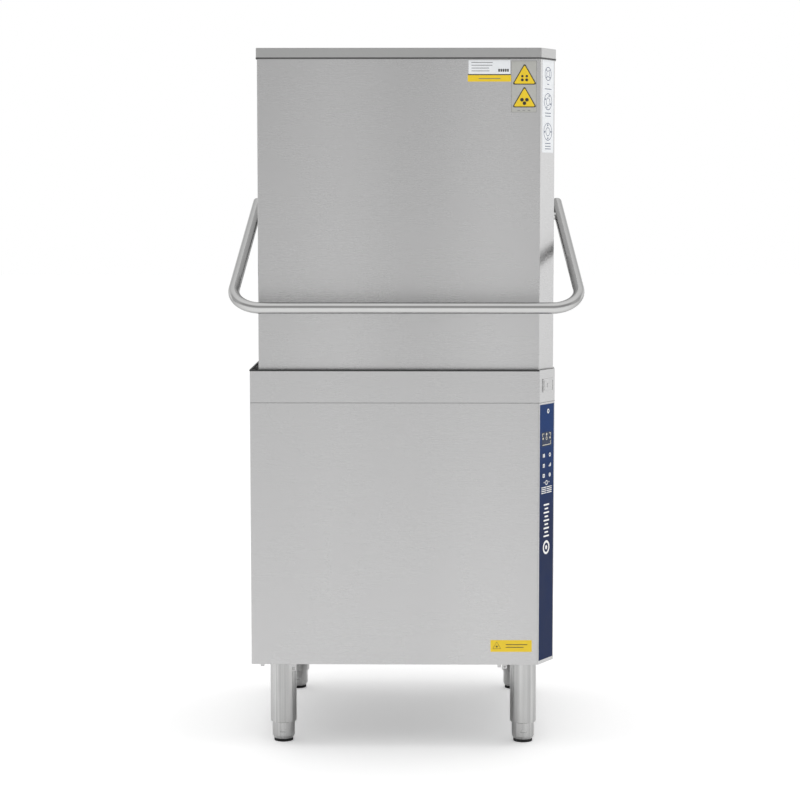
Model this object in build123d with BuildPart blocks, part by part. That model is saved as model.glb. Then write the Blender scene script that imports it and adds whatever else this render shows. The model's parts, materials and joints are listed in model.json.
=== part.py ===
from build123d import *
import math
import os

# Pass-through hood-type commercial dishwasher.
# Frame: millimetres, +X right and +Y to the rear as the operator sees it, +Z up.
# Origin: on the floor, under the middle of the cabinet.

# ---- overall sizes ----
cabinet_width = 676.0
cabinet_depth = 670.0
cabinet_bottom = 188.0
seam_height = 774.0
rim_height = 846.0
closed_height = 1550.0
sheet = 1.5
panel_gap = 0.5
bend_radius = 2.5

# the cut-off corner at the front right
corner_cut_x = 37.0
corner_cut_y = 62.0

# ---- hood ----
hood_left = -319.5
hood_right = 334.5
hood_front = -320.0
hood_rear = 262.0
hood_bottom = 830.0
hood_cut_x = 34.6
hood_cut_y = 58.0
liner_inset = 12.0
liner_top = 1500.0
cap_skirt = 23.0
cap_overhang = 2.0
cap_fit = 0.4

# ---- wash chamber ----
centre_x = 7.5
centre_y = -44.0
deck_height = 790.0
rack_height = 850.0
riser_y = 228.0

# ---- legs ----
leg_x = 271.0
leg_y = 268.0
leg_tube_radius = 29.5
leg_tube_bottom = 45.0
foot_radius = 25.3
pad_radius = 21.5
pad_height = 6.5

# ---- handle ----
handle_radius = 12.5
handle_wall = 1.5
handle_bend = 62.0
handle_centre_x = 7.5
grip_half_width = 382.5
grip_y = -420.0
grip_height = 987.5
arm_end_half_width = 342.0
arm_end_y = -100.0
arm_end_height = 1213.0
handle_bolt_places = (16.0, 52.0)

# ---- hood guides ----
column_x = 225.0
column_y = 296.0
column_width = 40.0
column_depth = 40.0
column_wall = 2.0
column_top = 1488.0
cover_top = 1500.0
roller_radius = 17.5
roller_heights = (880.0, 1025.0)
roller_width = 22.0
pin_radius = 5.0
running_gap = 0.05

# ---- fits ----
loose_fit = 0.1
small_gap = 0.3

origin_front = -cabinet_depth / 2
origin_rear = cabinet_depth / 2
side = cabinet_width / 2
hood_half_width = (hood_right - hood_left) / 2

leg_places = [(x, y) for x in (-leg_x, leg_x) for y in (-leg_y, leg_y)]

# The face of the cut-off corner: local x runs to the rear, local y up, local z outwards.
corner_plane = Plane(
    origin=(side - corner_cut_x / 2, origin_front + corner_cut_y / 2, 0),
    x_dir=(corner_cut_x, corner_cut_y, 0),
    z_dir=(corner_cut_y, -corner_cut_x, 0),
)


def save(builder, label):
    """Label a finished piece and write it as one STEP file."""
    builder.part.label = label
    export_step(builder.part, f"parts/{label}.step")


def cut_corner_points(left, right, front, rear, cut_x, cut_y, inset):
    """Corners of a rectangle with its front right corner cut off, moved in by inset."""
    length = math.hypot(cut_x, cut_y)
    normal_x = cut_y / length
    normal_y = -cut_x / length
    reach = normal_x * right + normal_y * (front + cut_y) - inset
    low_y = front + inset
    high_x = right - inset
    return [
        (left + inset, low_y),
        ((reach - normal_y * low_y) / normal_x, low_y),
        (high_x, (reach - normal_x * high_x) / normal_y),
        (high_x, rear - inset),
        (left + inset, rear - inset),
    ]


def cabinet_points(inset):
    """Plan of the cabinet, moved in by inset."""
    return cut_corner_points(
        -side, side, origin_front, origin_rear, corner_cut_x, corner_cut_y, inset
    )


def hood_points(inset):
    """Plan of the hood, moved in by inset."""
    return cut_corner_points(
        hood_left, hood_right, hood_front, hood_rear, hood_cut_x, hood_cut_y, inset
    )


def rounded_plan(points, radius):
    """Closed plan with rounded corners."""
    with BuildSketch(mode=Mode.PRIVATE) as plan:
        Polygon(*points, align=None)
        if radius:
            fillet(plan.vertices(), radius=radius)
    return plan.sketch


def sheet_ring(outer, inner, bottom, top, radius=bend_radius):
    """Upright wall between two plans."""
    with BuildSketch(Plane.XY.offset(bottom)) as ring:
        add(rounded_plan(outer, radius))
        add(rounded_plan(inner, max(radius - sheet, 0)), mode=Mode.SUBTRACT)
    extrude(ring.sketch, amount=top - bottom)


def plate(points, bottom, thickness, mode=Mode.ADD, radius=0):
    """Flat plate with a given plan."""
    with BuildSketch(Plane.XY.offset(bottom)) as outline:
        add(rounded_plan(points, radius))
    extrude(outline.sketch, amount=thickness, mode=mode)


def slab(x_range, y_range, z_range, mode=Mode.ADD):
    """Block between given limits."""
    middle = [(low + high) / 2 for low, high in (x_range, y_range, z_range)]
    size = [high - low for low, high in (x_range, y_range, z_range)]
    with Locations(tuple(middle)):
        Box(*size, mode=mode)


def post(x, y, bottom, top, radius, mode=Mode.ADD):
    """Upright cylinder."""
    with Locations((x, y, bottom)):
        Cylinder(radius, top - bottom, align=(Align.CENTER, Align.CENTER, Align.MIN), mode=mode)


def bar_x(x_range, y, z, radius, mode=Mode.ADD):
    """Cylinder along X."""
    with Locations(Location(((x_range[0] + x_range[1]) / 2, y, z), (0, 90, 0))):
        Cylinder(radius, x_range[1] - x_range[0], mode=mode)


def bar_y(x, y_range, z, radius, mode=Mode.ADD):
    """Cylinder along Y."""
    with Locations(Location((x, (y_range[0] + y_range[1]) / 2, z), (90, 0, 0))):
        Cylinder(radius, y_range[1] - y_range[0], mode=mode)


def pipe(points, bend, radius, bore=0, mode=Mode.ADD):
    """Round tube or rod along a line with rounded bends."""
    with BuildLine() as run:
        FilletPolyline(*points, radius=bend)
    with BuildSketch(Plane(origin=run.line @ 0, z_dir=run.line % 0)) as profile:
        Circle(radius)
        if bore:
            Circle(bore, mode=Mode.SUBTRACT)
    sweep(sections=profile.sketch, path=run.line, mode=mode)


def hand_range(hand, near, far):
    """Range of X on one side of the middle: hand is -1 for the left and 1 for the right."""
    return tuple(sorted((hand * near, hand * far)))


def rod(start, direction, length, radius, mode=Mode.ADD):
    """Cylinder that starts at a point and runs in a direction."""
    with BuildSketch(Plane(origin=start, z_dir=direction)) as profile:
        Circle(radius)
    extrude(profile.sketch, amount=length, mode=mode)


def skin_slice(x_range, y_range, bottom, top):
    """The piece of the cabinet's sheet skin inside a rectangle of the plan."""
    with BuildSketch(Plane.XY.offset(bottom)) as skin:
        add(rounded_plan(cabinet_points(0), bend_radius))
        add(rounded_plan(cabinet_points(sheet), bend_radius - sheet), mode=Mode.SUBTRACT)
        with Locations((sum(x_range) / 2, sum(y_range) / 2)):
            Rectangle(x_range[1] - x_range[0], y_range[1] - y_range[0], mode=Mode.INTERSECT)
    extrude(skin.sketch, amount=top - bottom)


def corner_block(u_range, z_range, depth_range, mode=Mode.ADD, radius=0):
    """Block on the face of the cut-off corner, at depths measured outwards from it."""
    with BuildSketch(corner_plane.offset(depth_range[0])) as outline:
        with Locations((sum(u_range) / 2, sum(z_range) / 2)):
            width = u_range[1] - u_range[0]
            height = z_range[1] - z_range[0]
            if radius:
                RectangleRounded(width, height, radius)
            else:
                Rectangle(width, height)
    extrude(outline.sketch, amount=depth_range[1] - depth_range[0], mode=mode)


def corner_disc(u, z, radius, depth_range, mode=Mode.ADD):
    """Round disc on the face of the cut-off corner."""
    with BuildSketch(corner_plane.offset(depth_range[0])) as outline:
        with Locations((u, z)):
            Circle(radius)
    extrude(outline.sketch, amount=depth_range[1] - depth_range[0], mode=mode)


os.makedirs("parts", exist_ok=True)

# ================= legs =================
tube_wall = 2.0
leg_plug = 4.0
bush_top = 62.0
stud_radius = 8.0
stud_top = 204.0
foot_bevel = 3.8
foot_bevel_height = 6.5
foot_stem_top = 122.0
notch_size = (14.0, 3.0, 6.0)
notch_z = 26.0
neck_radius = 6.0
neck_height = 4.0
neck_fit = 0.2
pad_edge = 0.4

with BuildPart() as leg_tubes:
    tube_bore = leg_tube_radius - tube_wall
    for x, y in leg_places:
        post(x, y, leg_tube_bottom, cabinet_bottom, leg_tube_radius)
        post(x, y, leg_tube_bottom, cabinet_bottom - leg_plug, tube_bore, mode=Mode.SUBTRACT)
    for x, y in leg_places:
        post(x, y, leg_tube_bottom, bush_top, tube_bore)
        post(x, y, leg_tube_bottom, bush_top, foot_radius + running_gap, mode=Mode.SUBTRACT)
        post(x, y, cabinet_bottom, stud_top, stud_radius)
    lowest_faces = leg_tubes.faces().filter_by(Axis.Z).group_by(Axis.Z)[0]
    chamfer(lowest_faces.edges().group_by(SortBy.LENGTH)[-1], length=1.0)
save(leg_tubes, "leg_tubes")

with BuildPart() as adjustable_feet:
    for x, y in leg_places:
        with BuildSketch(Plane(origin=(x, y, 0), x_dir=(1, 0, 0), z_dir=(0, -1, 0))) as profile:
            with BuildLine():
                Polyline(
                    (0, pad_height),
                    (foot_radius - foot_bevel, pad_height),
                    (foot_radius, pad_height + foot_bevel_height),
                    (foot_radius, foot_stem_top),
                    (0, foot_stem_top),
                    close=True,
                )
            make_face()
        revolve(profile.sketch, axis=Axis((x, y, 0), (0, 0, 1)))
        post(
            x,
            y,
            pad_height,
            pad_height + neck_height + 1,
            neck_radius + neck_fit,
            mode=Mode.SUBTRACT,
        )
        with Locations((x, y - foot_radius, notch_z)):
            Box(*notch_size, mode=Mode.SUBTRACT)
save(adjustable_feet, "adjustable_feet")

with BuildPart() as foot_pads:
    for x, y in leg_places:
        post(x, y, 0, pad_height, pad_radius)
        post(x, y, pad_height, pad_height + neck_height, neck_radius)
    fillet(foot_pads.faces().filter_by(Axis.Z).group_by(Axis.Z)[0].edges(), radius=pad_edge)
save(foot_pads, "foot_pads")

# ================= base frame and panels =================
frame_inset = 4.5
frame_flange = 2.0
flange_width = 36.0
frame_height = 40.0
corner_plate = 110.0
bearer_top = cabinet_bottom + 20
bearer_width = 40.0
bearer_places = (-90.0, 0.0, 105.0, 200.0)

with BuildPart() as base_frame:
    with BuildSketch(Plane.XY.offset(cabinet_bottom)) as flange:
        add(rounded_plan(cabinet_points(frame_inset), 0))
        add(rounded_plan(cabinet_points(frame_inset + flange_width), 0), mode=Mode.SUBTRACT)
        with Locations(*leg_places):
            Rectangle(corner_plate, corner_plate)
        add(rounded_plan(cabinet_points(frame_inset), 0), mode=Mode.INTERSECT)
        with Locations(*leg_places):
            Circle(stud_radius + small_gap, mode=Mode.SUBTRACT)
    extrude(flange.sketch, amount=frame_flange)
    sheet_ring(
        cabinet_points(frame_inset),
        cabinet_points(frame_inset + frame_flange),
        cabinet_bottom,
        cabinet_bottom + frame_height,
        radius=0,
    )
    for y in bearer_places:
        width = (frame_inset - side, side - frame_inset)
        slab(width, (y, y + bearer_width), (cabinet_bottom, cabinet_bottom + frame_flange))
        slab(width, (y, y + frame_flange), (cabinet_bottom, bearer_top))
save(base_frame, "base_frame")

panel_top = seam_height - panel_gap
post_left = side - corner_cut_x
return_depth = 18.0
post_rear = origin_front + corner_cut_y + return_depth
panel_seam = post_left - 1.8
lap_width = 30.0
panel_rear = origin_rear - sheet - small_gap

with BuildPart() as front_panel:
    skin_slice(
        (-side, panel_seam - panel_gap / 2),
        (origin_front, origin_front + return_depth),
        cabinet_bottom,
        panel_top,
    )
    slab(
        (-side + sheet, post_left - lap_width),
        (origin_front + sheet, origin_front + return_depth),
        (panel_top - sheet, panel_top),
    )
save(front_panel, "front_panel")

with BuildPart() as left_panel:
    left_y = (origin_front + return_depth + panel_gap, panel_rear)
    skin_slice((-side, -side + return_depth), left_y, cabinet_bottom, panel_top)
    slab((-side + sheet, -side + return_depth), left_y, (panel_top - sheet, panel_top))
save(left_panel, "left_panel")

with BuildPart() as right_panel:
    right_y = (post_rear + panel_gap, panel_rear)
    skin_slice((side - return_depth, side), right_y, cabinet_bottom, panel_top)
    slab((side - return_depth, side - sheet), right_y, (panel_top - sheet, panel_top))
save(right_panel, "right_panel")

# water inlet, drain outlet and cable gland in the back panel
inlet_x = -250.0
drain_x = -100.0
gland_x = 230.0
fittings_z = 300.0
inlet_neck_radius = 14.5
spigot_radius = 13.2
spigot_length = 17.0
drain_ring_radius = 15.5
drain_radius = 12.0
drain_length = 24.0
gland_radius = 12.5

# screws and louvres of the back panel
screw_radius = 2.5
screw_head_radius = 5.0
screw_head_height = 2.6
screw_depth = 8.0
screw_slot = (5.0, 1.0)
screw_x_places = (-310.0, -105.0, 105.0, 310.0)
screw_z_places = (242.0, 756.0)
screw_places = [(x, z) for x in screw_x_places for z in screw_z_places]
louvre_size = (75.0, 5.0)
louvre_pitch = (90.0, 14.0)
louvre_start = (100.0, 560.0)
louvre_count = (2, 9)

with BuildPart() as back_panel:
    through = (origin_rear - 5, origin_rear + 5)
    slab((-side, side), (origin_rear - sheet, origin_rear), (cabinet_bottom, panel_top))
    for x, radius in (
        (inlet_x, inlet_neck_radius),
        (drain_x, drain_ring_radius),
        (gland_x, gland_radius),
    ):
        bar_y(x, through, fittings_z, radius + small_gap, mode=Mode.SUBTRACT)
    for x, z in screw_places:
        bar_y(x, through, z, screw_radius + loose_fit, mode=Mode.SUBTRACT)
    for column in range(louvre_count[0]):
        for row in range(louvre_count[1]):
            x = louvre_start[0] + column * louvre_pitch[0]
            z = louvre_start[1] + row * louvre_pitch[1]
            slab(
                (x, x + louvre_size[0]), through, (z, z + louvre_size[1]), mode=Mode.SUBTRACT
            )
save(back_panel, "back_panel")

with BuildPart() as panel_screws:
    head_face = origin_rear + screw_head_height
    for x, z in screw_places:
        bar_y(x, (origin_rear - screw_depth, origin_rear), z, screw_radius)
        bar_y(x, (origin_rear, head_face), z, screw_head_radius)
    fillet(panel_screws.faces().filter_by(Axis.Y).group_by(Axis.Y)[-1].edges(), radius=1.2)
    for x, z in screw_places:
        for width, height in (screw_slot, screw_slot[::-1]):
            with Locations((x, head_face, z)):
                Box(width, 2.0, height, mode=Mode.SUBTRACT)
save(panel_screws, "panel_screws")

# tabs that hold the front panel's lower edge
latch_front = origin_front + 4.0
latch_plate = 2.0
hook_x = (-250.0, -239.0)
hook_bottom = 172.0
hook_slot_x = (-247.5, -241.5)
hook_slot_z = (174.0, 181.0)
tab_x = (222.0, 232.0)
tab_bottom = 178.0
tab_hole_radius = 2.2
stop_blocks = (
    ((211.0, 219.0), (latch_front + 4, latch_front + 12), 180.0),
    ((-318.0, -310.0), (latch_front + 2, latch_front + 8), 182.0),
)

with BuildPart() as panel_latches:
    latch_y = (latch_front, latch_front + latch_plate)
    through = (latch_front - 1, latch_front + latch_plate + 1)
    slab(hook_x, latch_y, (hook_bottom, cabinet_bottom))
    slab(hook_slot_x, through, hook_slot_z, mode=Mode.SUBTRACT)
    slab(tab_x, latch_y, (tab_bottom, cabinet_bottom))
    tab_hole_z = (tab_bottom + cabinet_bottom) / 2
    bar_y(sum(tab_x) / 2, through, tab_hole_z, tab_hole_radius, mode=Mode.SUBTRACT)
    for block_x, block_y, block_bottom in stop_blocks:
        slab(block_x, block_y, (block_bottom, cabinet_bottom))
save(panel_latches, "panel_latches")

# ================= cut-off corner with the controls =================
strip_u = (-33.5, 33.0)
strip_z = (196.0, 769.0)
strip_middle = sum(strip_u) / 2
strip_face = -0.2
strip_back = -3.1
backing_side = (1.0, 1.5)
backing_end = (3.0, 2.0)
key_u = (strip_middle - 14.3, strip_middle + 14.3)
key_z = (655.0, 632.5, 610.0)
key_radius = 6.4
key_flange_radius = 7.6
key_face = 0.3
power_u = 5.0
power_z = 753.0
power_radius = 5.0
power_flange_radius = 6.4
button_back = -4.4
display_u = (-24.0, 22.0)
display_z = (675.0, 707.0)
display_rim = 2.0
lap_x = (post_left - 24, post_left + 0.6)
lap_gap = 0.2

with BuildPart() as corner_post:
    skin_slice(
        (panel_seam + panel_gap / 2, side), (origin_front, post_rear), cabinet_bottom, panel_top
    )
    slab(
        lap_x,
        (origin_front + sheet + lap_gap, origin_front + 2 * sheet + lap_gap),
        (cabinet_bottom + 2, panel_top - 2),
    )
    corner_block(
        (strip_u[0] - loose_fit, strip_u[1] + loose_fit),
        (strip_z[0] - loose_fit, strip_z[1] + loose_fit),
        (-3, 3),
        mode=Mode.SUBTRACT,
        radius=1.0,
    )
save(corner_post, "corner_post")

with BuildPart() as control_fascia:
    backing_face = -sheet - loose_fit
    through = (-5, 3)
    corner_block(strip_u, strip_z, (backing_face, strip_face), radius=0.9)
    corner_block(
        (strip_u[0] + backing_side[0], strip_u[1] + backing_side[1]),
        (strip_z[0] - backing_end[0], strip_z[1] + backing_end[1]),
        (strip_back, backing_face),
    )
    corner_block(
        (display_u[0] - loose_fit, display_u[1] + loose_fit),
        (display_z[0] - loose_fit, display_z[1] + loose_fit),
        through,
        mode=Mode.SUBTRACT,
        radius=1.6,
    )
    for u in key_u:
        for z in key_z:
            corner_disc(u, z, key_radius + loose_fit, through, mode=Mode.SUBTRACT)
    corner_disc(power_u, power_z, power_radius + loose_fit, through, mode=Mode.SUBTRACT)
save(control_fascia, "control_fascia")

with BuildPart() as display_window:
    rim_front = strip_back - loose_fit
    corner_block(display_u, display_z, (rim_front, strip_face), radius=1.5)
    corner_block(
        (display_u[0] - display_rim, display_u[1] + display_rim),
        (display_z[0] - display_rim, display_z[1] + display_rim),
        (button_back, rim_front),
    )
save(display_window, "display_window")

button_step = strip_back - small_gap
with BuildPart() as power_button:
    corner_disc(power_u, power_z, power_radius, (button_step, key_face))
    corner_disc(power_u, power_z, power_flange_radius, (button_back, button_step))
save(power_button, "power_button")

key_names = [
    "upper_front_key",
    "middle_front_key",
    "lower_front_key",
    "upper_rear_key",
    "middle_rear_key",
    "lower_rear_key",
]
key_places = [(u, z) for u in key_u for z in key_z]
for key_name, (u, z) in zip(key_names, key_places):
    with BuildPart() as key:
        corner_disc(u, z, key_radius, (button_step, key_face))
        corner_disc(u, z, key_flange_radius, (button_back, button_step))
    save(key, key_name)

# ================= collar and deck =================
opening_half_x = 257.0
opening_half_y = 245.0
opening_radius = 20.0
lip_height = 824.0
deck_top = deck_height + sheet
riser_radius = 17.0
rinse_x = 43.0
rinse_y = 232.0
rinse_radius = 6.0
dock_hole_radius = 4.5
dock_hole_spacing = 300.0
dock_hole_z = 812.0
cap_u = (-21.5, 25.5)
cap_z = (796.0, 826.0)
cap_depth = 2.0

with BuildPart() as deck_collar:
    sheet_ring(cabinet_points(0), cabinet_points(sheet), seam_height, rim_height)
    with BuildSketch(Plane.XY.offset(deck_height)) as deck:
        add(rounded_plan(cabinet_points(sheet / 2), 0))
        with Locations((centre_x, centre_y)):
            RectangleRounded(
                2 * opening_half_x, 2 * opening_half_y, opening_radius, mode=Mode.SUBTRACT
            )
        with Locations((centre_x, riser_y)):
            Circle(riser_radius + small_gap, mode=Mode.SUBTRACT)
        with Locations((rinse_x, rinse_y)):
            Circle(rinse_radius + small_gap, mode=Mode.SUBTRACT)
    extrude(deck.sketch, amount=sheet)
    with BuildSketch(Plane.XY.offset(deck_height)) as lip:
        with Locations((centre_x, centre_y)):
            RectangleRounded(
                2 * opening_half_x + 2 * sheet,
                2 * opening_half_y + 2 * sheet,
                opening_radius + sheet,
            )
            RectangleRounded(
                2 * opening_half_x, 2 * opening_half_y, opening_radius, mode=Mode.SUBTRACT
            )
    extrude(lip.sketch, amount=lip_height - deck_height)
    for y in (-dock_hole_spacing / 2, dock_hole_spacing / 2):
        for wall_x in (-side, side):
            bar_x((wall_x - 5, wall_x + 5), y, dock_hole_z, dock_hole_radius, mode=Mode.SUBTRACT)
save(deck_collar, "deck_collar")

with BuildPart() as collar_cap:
    corner_block(cap_u, cap_z, (0, cap_depth), radius=2.0)
    away = Axis(corner_plane.origin, corner_plane.z_dir)
    fillet(collar_cap.faces().sort_by(away)[-1].edges(), radius=0.8)
save(collar_cap, "collar_cap")

buffer_places = [(-312.5, -200.0), (-312.5, 200.0), (327.6, -150.0), (327.6, 200.0)]
buffer_radius = 4.5
buffer_top = hood_bottom + 1.7
with BuildPart() as hood_buffers:
    for x, y in buffer_places:
        post(x, y, deck_top, buffer_top, buffer_radius)
save(hood_buffers, "hood_buffers")

rail_half_y = 253.0
rail_half_x = 290.0
rail_wall = 1.5
rail_shelf = 20.0
rail_foot = 20.0
rail_z = (rack_height - 18, rack_height + 28)
rod_x = 120.0
rod_drop = 4.0
rod_radius = 3.2
with BuildPart() as rack_guide:
    for toward in (-1, 1):
        wall_y = centre_y + toward * rail_half_y
        fence = tuple(sorted((wall_y, wall_y + toward * rail_wall)))
        shelf = tuple(sorted((wall_y, wall_y - toward * rail_shelf)))
        slab((-rail_half_x, rail_half_x), fence, rail_z)
        slab((-rail_half_x, rail_half_x), shelf, (rack_height - rail_wall, rack_height))
        for x in (-rail_half_x, rail_half_x - rail_foot):
            slab((x, x + rail_foot), fence, (deck_top, rack_height))
    for x in (centre_x - rod_x, centre_x + rod_x):
        between = (centre_y - rail_half_y, centre_y + rail_half_y)
        bar_y(x, between, rack_height - rod_drop, rod_radius)
save(rack_guide, "rack_guide")

# ================= wash tank =================
tank_wall = 1.5
tank_half_x = 266.0
tank_half_y = 244.0
tank_left = centre_x - tank_half_x
tank_rear = centre_y + tank_half_y
tank_shoulder = 640.0
funnel_bottom = 580.0
funnel_half = 150.0
sump_radius = 75.0
sump_bottom = 520.0
overflow_x = centre_x - 45.0
overflow_radius = 18.0
overflow_wall = 4.0
suction_y = centre_y + 40.0
suction_radius = 20.0
suction_wall = 4.0
heater_y = (-150.0, 60.0)
heater_z = 660.0
heater_radius = 4.5
heater_reach = 150.0
heater_stub = 20.0
heater_bend = 40.0
heater_flange = (6.0, 14.0)
branch_z = 745.0


def tank_body(inset, mode=Mode.ADD):
    """Solid shape of the tank, moved in by inset."""
    wide_size = (2 * (tank_half_x - inset), 2 * (tank_half_y - inset))
    narrow_size = (2 * (funnel_half - inset), 2 * (funnel_half - inset))
    shoulder = tank_shoulder + inset
    funnel = funnel_bottom + inset
    with Locations((centre_x, centre_y, shoulder)):
        Box(
            *wide_size,
            deck_height - shoulder,
            align=(Align.CENTER, Align.CENTER, Align.MIN),
            mode=mode,
        )
    with BuildSketch(Plane.XY.offset(shoulder)) as wide:
        with Locations((centre_x, centre_y)):
            Rectangle(*wide_size)
    with BuildSketch(Plane.XY.offset(funnel)) as narrow:
        with Locations((centre_x, centre_y)):
            Rectangle(*narrow_size)
    loft(sections=[narrow.sketch, wide.sketch], mode=mode)
    post(centre_x, centre_y, sump_bottom + inset, funnel + 1, sump_radius - inset, mode=mode)


with BuildPart() as wash_tank:
    tank_body(0)
    tank_body(tank_wall, mode=Mode.SUBTRACT)
    for x, y, radius in (
        (overflow_x, centre_y, overflow_radius + small_gap),
        (centre_x, suction_y, suction_radius - suction_wall / 2),
    ):
        post(x, y, sump_bottom - 1, sump_bottom + 4, radius, mode=Mode.SUBTRACT)
    for y in heater_y:
        bar_x(
            (tank_left - 5, tank_left + 5),
            y,
            heater_z,
            heater_radius + small_gap,
            mode=Mode.SUBTRACT,
        )
    for x, radius in ((centre_x, riser_radius), (rinse_x, rinse_radius)):
        bar_y(
            x, (tank_rear - 5, tank_rear + 5), branch_z, radius + small_gap, mode=Mode.SUBTRACT
        )
save(wash_tank, "wash_tank")

filter_z = 772.0
filter_half_x = 255.0
filter_half_y = 238.0
filter_rim = (3.0, 12.0)
filter_hole_radius = 28.0
filter_slot = 2.0
mesh_pitch = (44.0, 40.0)
mesh_count = (10, 10)
mesh_radius = 3.0
with BuildPart() as tank_filters:
    rim_width, rim_top = filter_rim
    through = (filter_z - 1, filter_z + rim_top + 1)
    for x_range in (
        (centre_x - filter_half_x, centre_x - filter_slot),
        (centre_x + filter_slot, centre_x + filter_half_x),
    ):
        front_y = centre_y - filter_half_y
        back_y = centre_y + filter_half_y
        slab(x_range, (front_y, back_y), (filter_z, filter_z + sheet))
        slab(x_range, (front_y, front_y + rim_width), (filter_z, filter_z + rim_top))
        slab(x_range, (back_y - rim_width, back_y), (filter_z, filter_z + rim_top))
    post(centre_x, centre_y, *through, filter_hole_radius, mode=Mode.SUBTRACT)
    post(rinse_x, centre_y, *through, rinse_radius + 3, mode=Mode.SUBTRACT)
    with Locations((centre_x, centre_y, filter_z)):
        with GridLocations(*mesh_pitch, *mesh_count):
            Cylinder(mesh_radius, 10, mode=Mode.SUBTRACT)
save(tank_filters, "tank_filters")

with BuildPart() as overflow_pipe:
    seat_z = sump_bottom + tank_wall
    post(overflow_x, centre_y, seat_z, branch_z - 8, overflow_radius)
    post(overflow_x, centre_y, sump_bottom, seat_z, overflow_radius - overflow_wall + 1)
    post(
        overflow_x,
        centre_y,
        sump_bottom - 1,
        branch_z,
        overflow_radius - overflow_wall,
        mode=Mode.SUBTRACT,
    )
save(overflow_pipe, "overflow_pipe")

with BuildPart() as tank_heater:
    loop = [
        (tank_left - heater_stub, heater_y[0], heater_z),
        (heater_reach, heater_y[0], heater_z),
        (heater_reach, heater_y[1], heater_z),
        (tank_left - heater_stub, heater_y[1], heater_z),
    ]
    pipe(loop, heater_bend, heater_radius)
    for y in heater_y:
        bar_x((tank_left - heater_flange[0], tank_left), y, heater_z, heater_flange[1])
save(tank_heater, "tank_heater")

# ================= wash pump =================
pump_z = 450.0
pump_front = 95.0
pump_rear = 145.0
pump_wall = 4.0
volute_radius = 75.0
volute_wall = 5.0
inlet_stub = 15.0
outlet_y = 120.0
outlet_top = pump_z + volute_radius + 14
outlet_wall = 3.0
pump_foot_x = (-40.0, 30.0)
pump_foot_width = 10.0
pump_base_half = 50.0
pump_base_top = 212.0
motor_radius = 58.0
motor_rear = 300.0
motor_flange = 8.0
fin_depth = 4.0
fin_count = 24
fin_thickness = 2.5
fin_short = 40.0
terminal_half = 35.0
terminal_y = (185.0, 250.0)
terminal_z = (pump_z + motor_radius - 8, pump_z + motor_radius + 22)
shaft_radius = 6.0
shaft_front = pump_front + 12
shaft_rear = motor_rear - 32
disc_radius = 62.0
vane_count = 6
vane_middle = 36.0
vane_size = (50.0, 3.0, 18.0)
rotor_hub_radius = 12.0

with BuildPart() as wash_pump_housing:
    floor_y = pump_front + pump_wall
    outlet_z = pump_z + volute_radius
    bar_y(centre_x, (pump_front, pump_rear), pump_z, volute_radius)
    bar_y(
        centre_x,
        (floor_y, pump_rear + 1),
        pump_z,
        volute_radius - volute_wall,
        mode=Mode.SUBTRACT,
    )
    bar_y(centre_x, (pump_front - inlet_stub, floor_y), pump_z, suction_radius)
    bar_y(
        centre_x,
        (pump_front - inlet_stub - 1, floor_y + 1),
        pump_z,
        suction_radius - suction_wall,
        mode=Mode.SUBTRACT,
    )
    post(centre_x, outlet_y, outlet_z - 8, outlet_top, riser_radius)
    post(
        centre_x,
        outlet_y,
        outlet_z - 12,
        outlet_top + 1,
        riser_radius - outlet_wall,
        mode=Mode.SUBTRACT,
    )
    foot_y = (pump_front + 14, pump_rear)
    for x in (centre_x + pump_foot_x[0], centre_x + pump_foot_x[1]):
        slab((x, x + pump_foot_width), foot_y, (pump_base_top - 2, pump_z - volute_radius + 12))
    base_x = (centre_x - pump_base_half, centre_x + pump_base_half)
    slab(base_x, foot_y, (bearer_top, pump_base_top))
save(wash_pump_housing, "wash_pump_housing")

with BuildPart() as wash_pump_motor:
    flange_rear = pump_rear + motor_flange
    bar_y(centre_x, (pump_rear, flange_rear), pump_z, volute_radius)
    bar_y(centre_x, (flange_rear, motor_rear), pump_z, motor_radius - fin_depth)
    fin_middle = (centre_x, (flange_rear + motor_rear) / 2, pump_z)
    with Locations(Location(fin_middle, (90, 0, 0))):
        with PolarLocations(motor_radius - fin_depth, fin_count):
            Box(2 * fin_depth, fin_thickness, motor_rear - pump_rear - fin_short)
    slab((centre_x - terminal_half, centre_x + terminal_half), terminal_y, terminal_z)
    bar_y(
        centre_x,
        (pump_rear - 1, motor_rear - 30),
        pump_z,
        shaft_radius + running_gap,
        mode=Mode.SUBTRACT,
    )
save(wash_pump_motor, "wash_pump_motor")

with BuildPart() as wash_pump_rotor:
    bar_y(centre_x, (shaft_front, shaft_rear), pump_z, shaft_radius)
    bar_y(centre_x, (pump_rear - 12, pump_rear - 8), pump_z, disc_radius)
    with Locations(Location((centre_x, pump_rear - 20, pump_z), (90, 0, 0))):
        with PolarLocations(vane_middle, vane_count):
            Box(*vane_size)
    bar_y(centre_x, (shaft_front, pump_rear - 12), pump_z, rotor_hub_radius)
save(wash_pump_rotor, "wash_pump_rotor")

# suction hose, delivery hose and drain hose
hose_top = 660.0
delivery_z = 562.0
drain_pump_z = 445.0
drain_run_y = 60.0
ring_half = 4.0
hose_wall = 3.0
suction_bend = 40.0
delivery_bend = 22.0
drain_bend = 20.0

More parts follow.
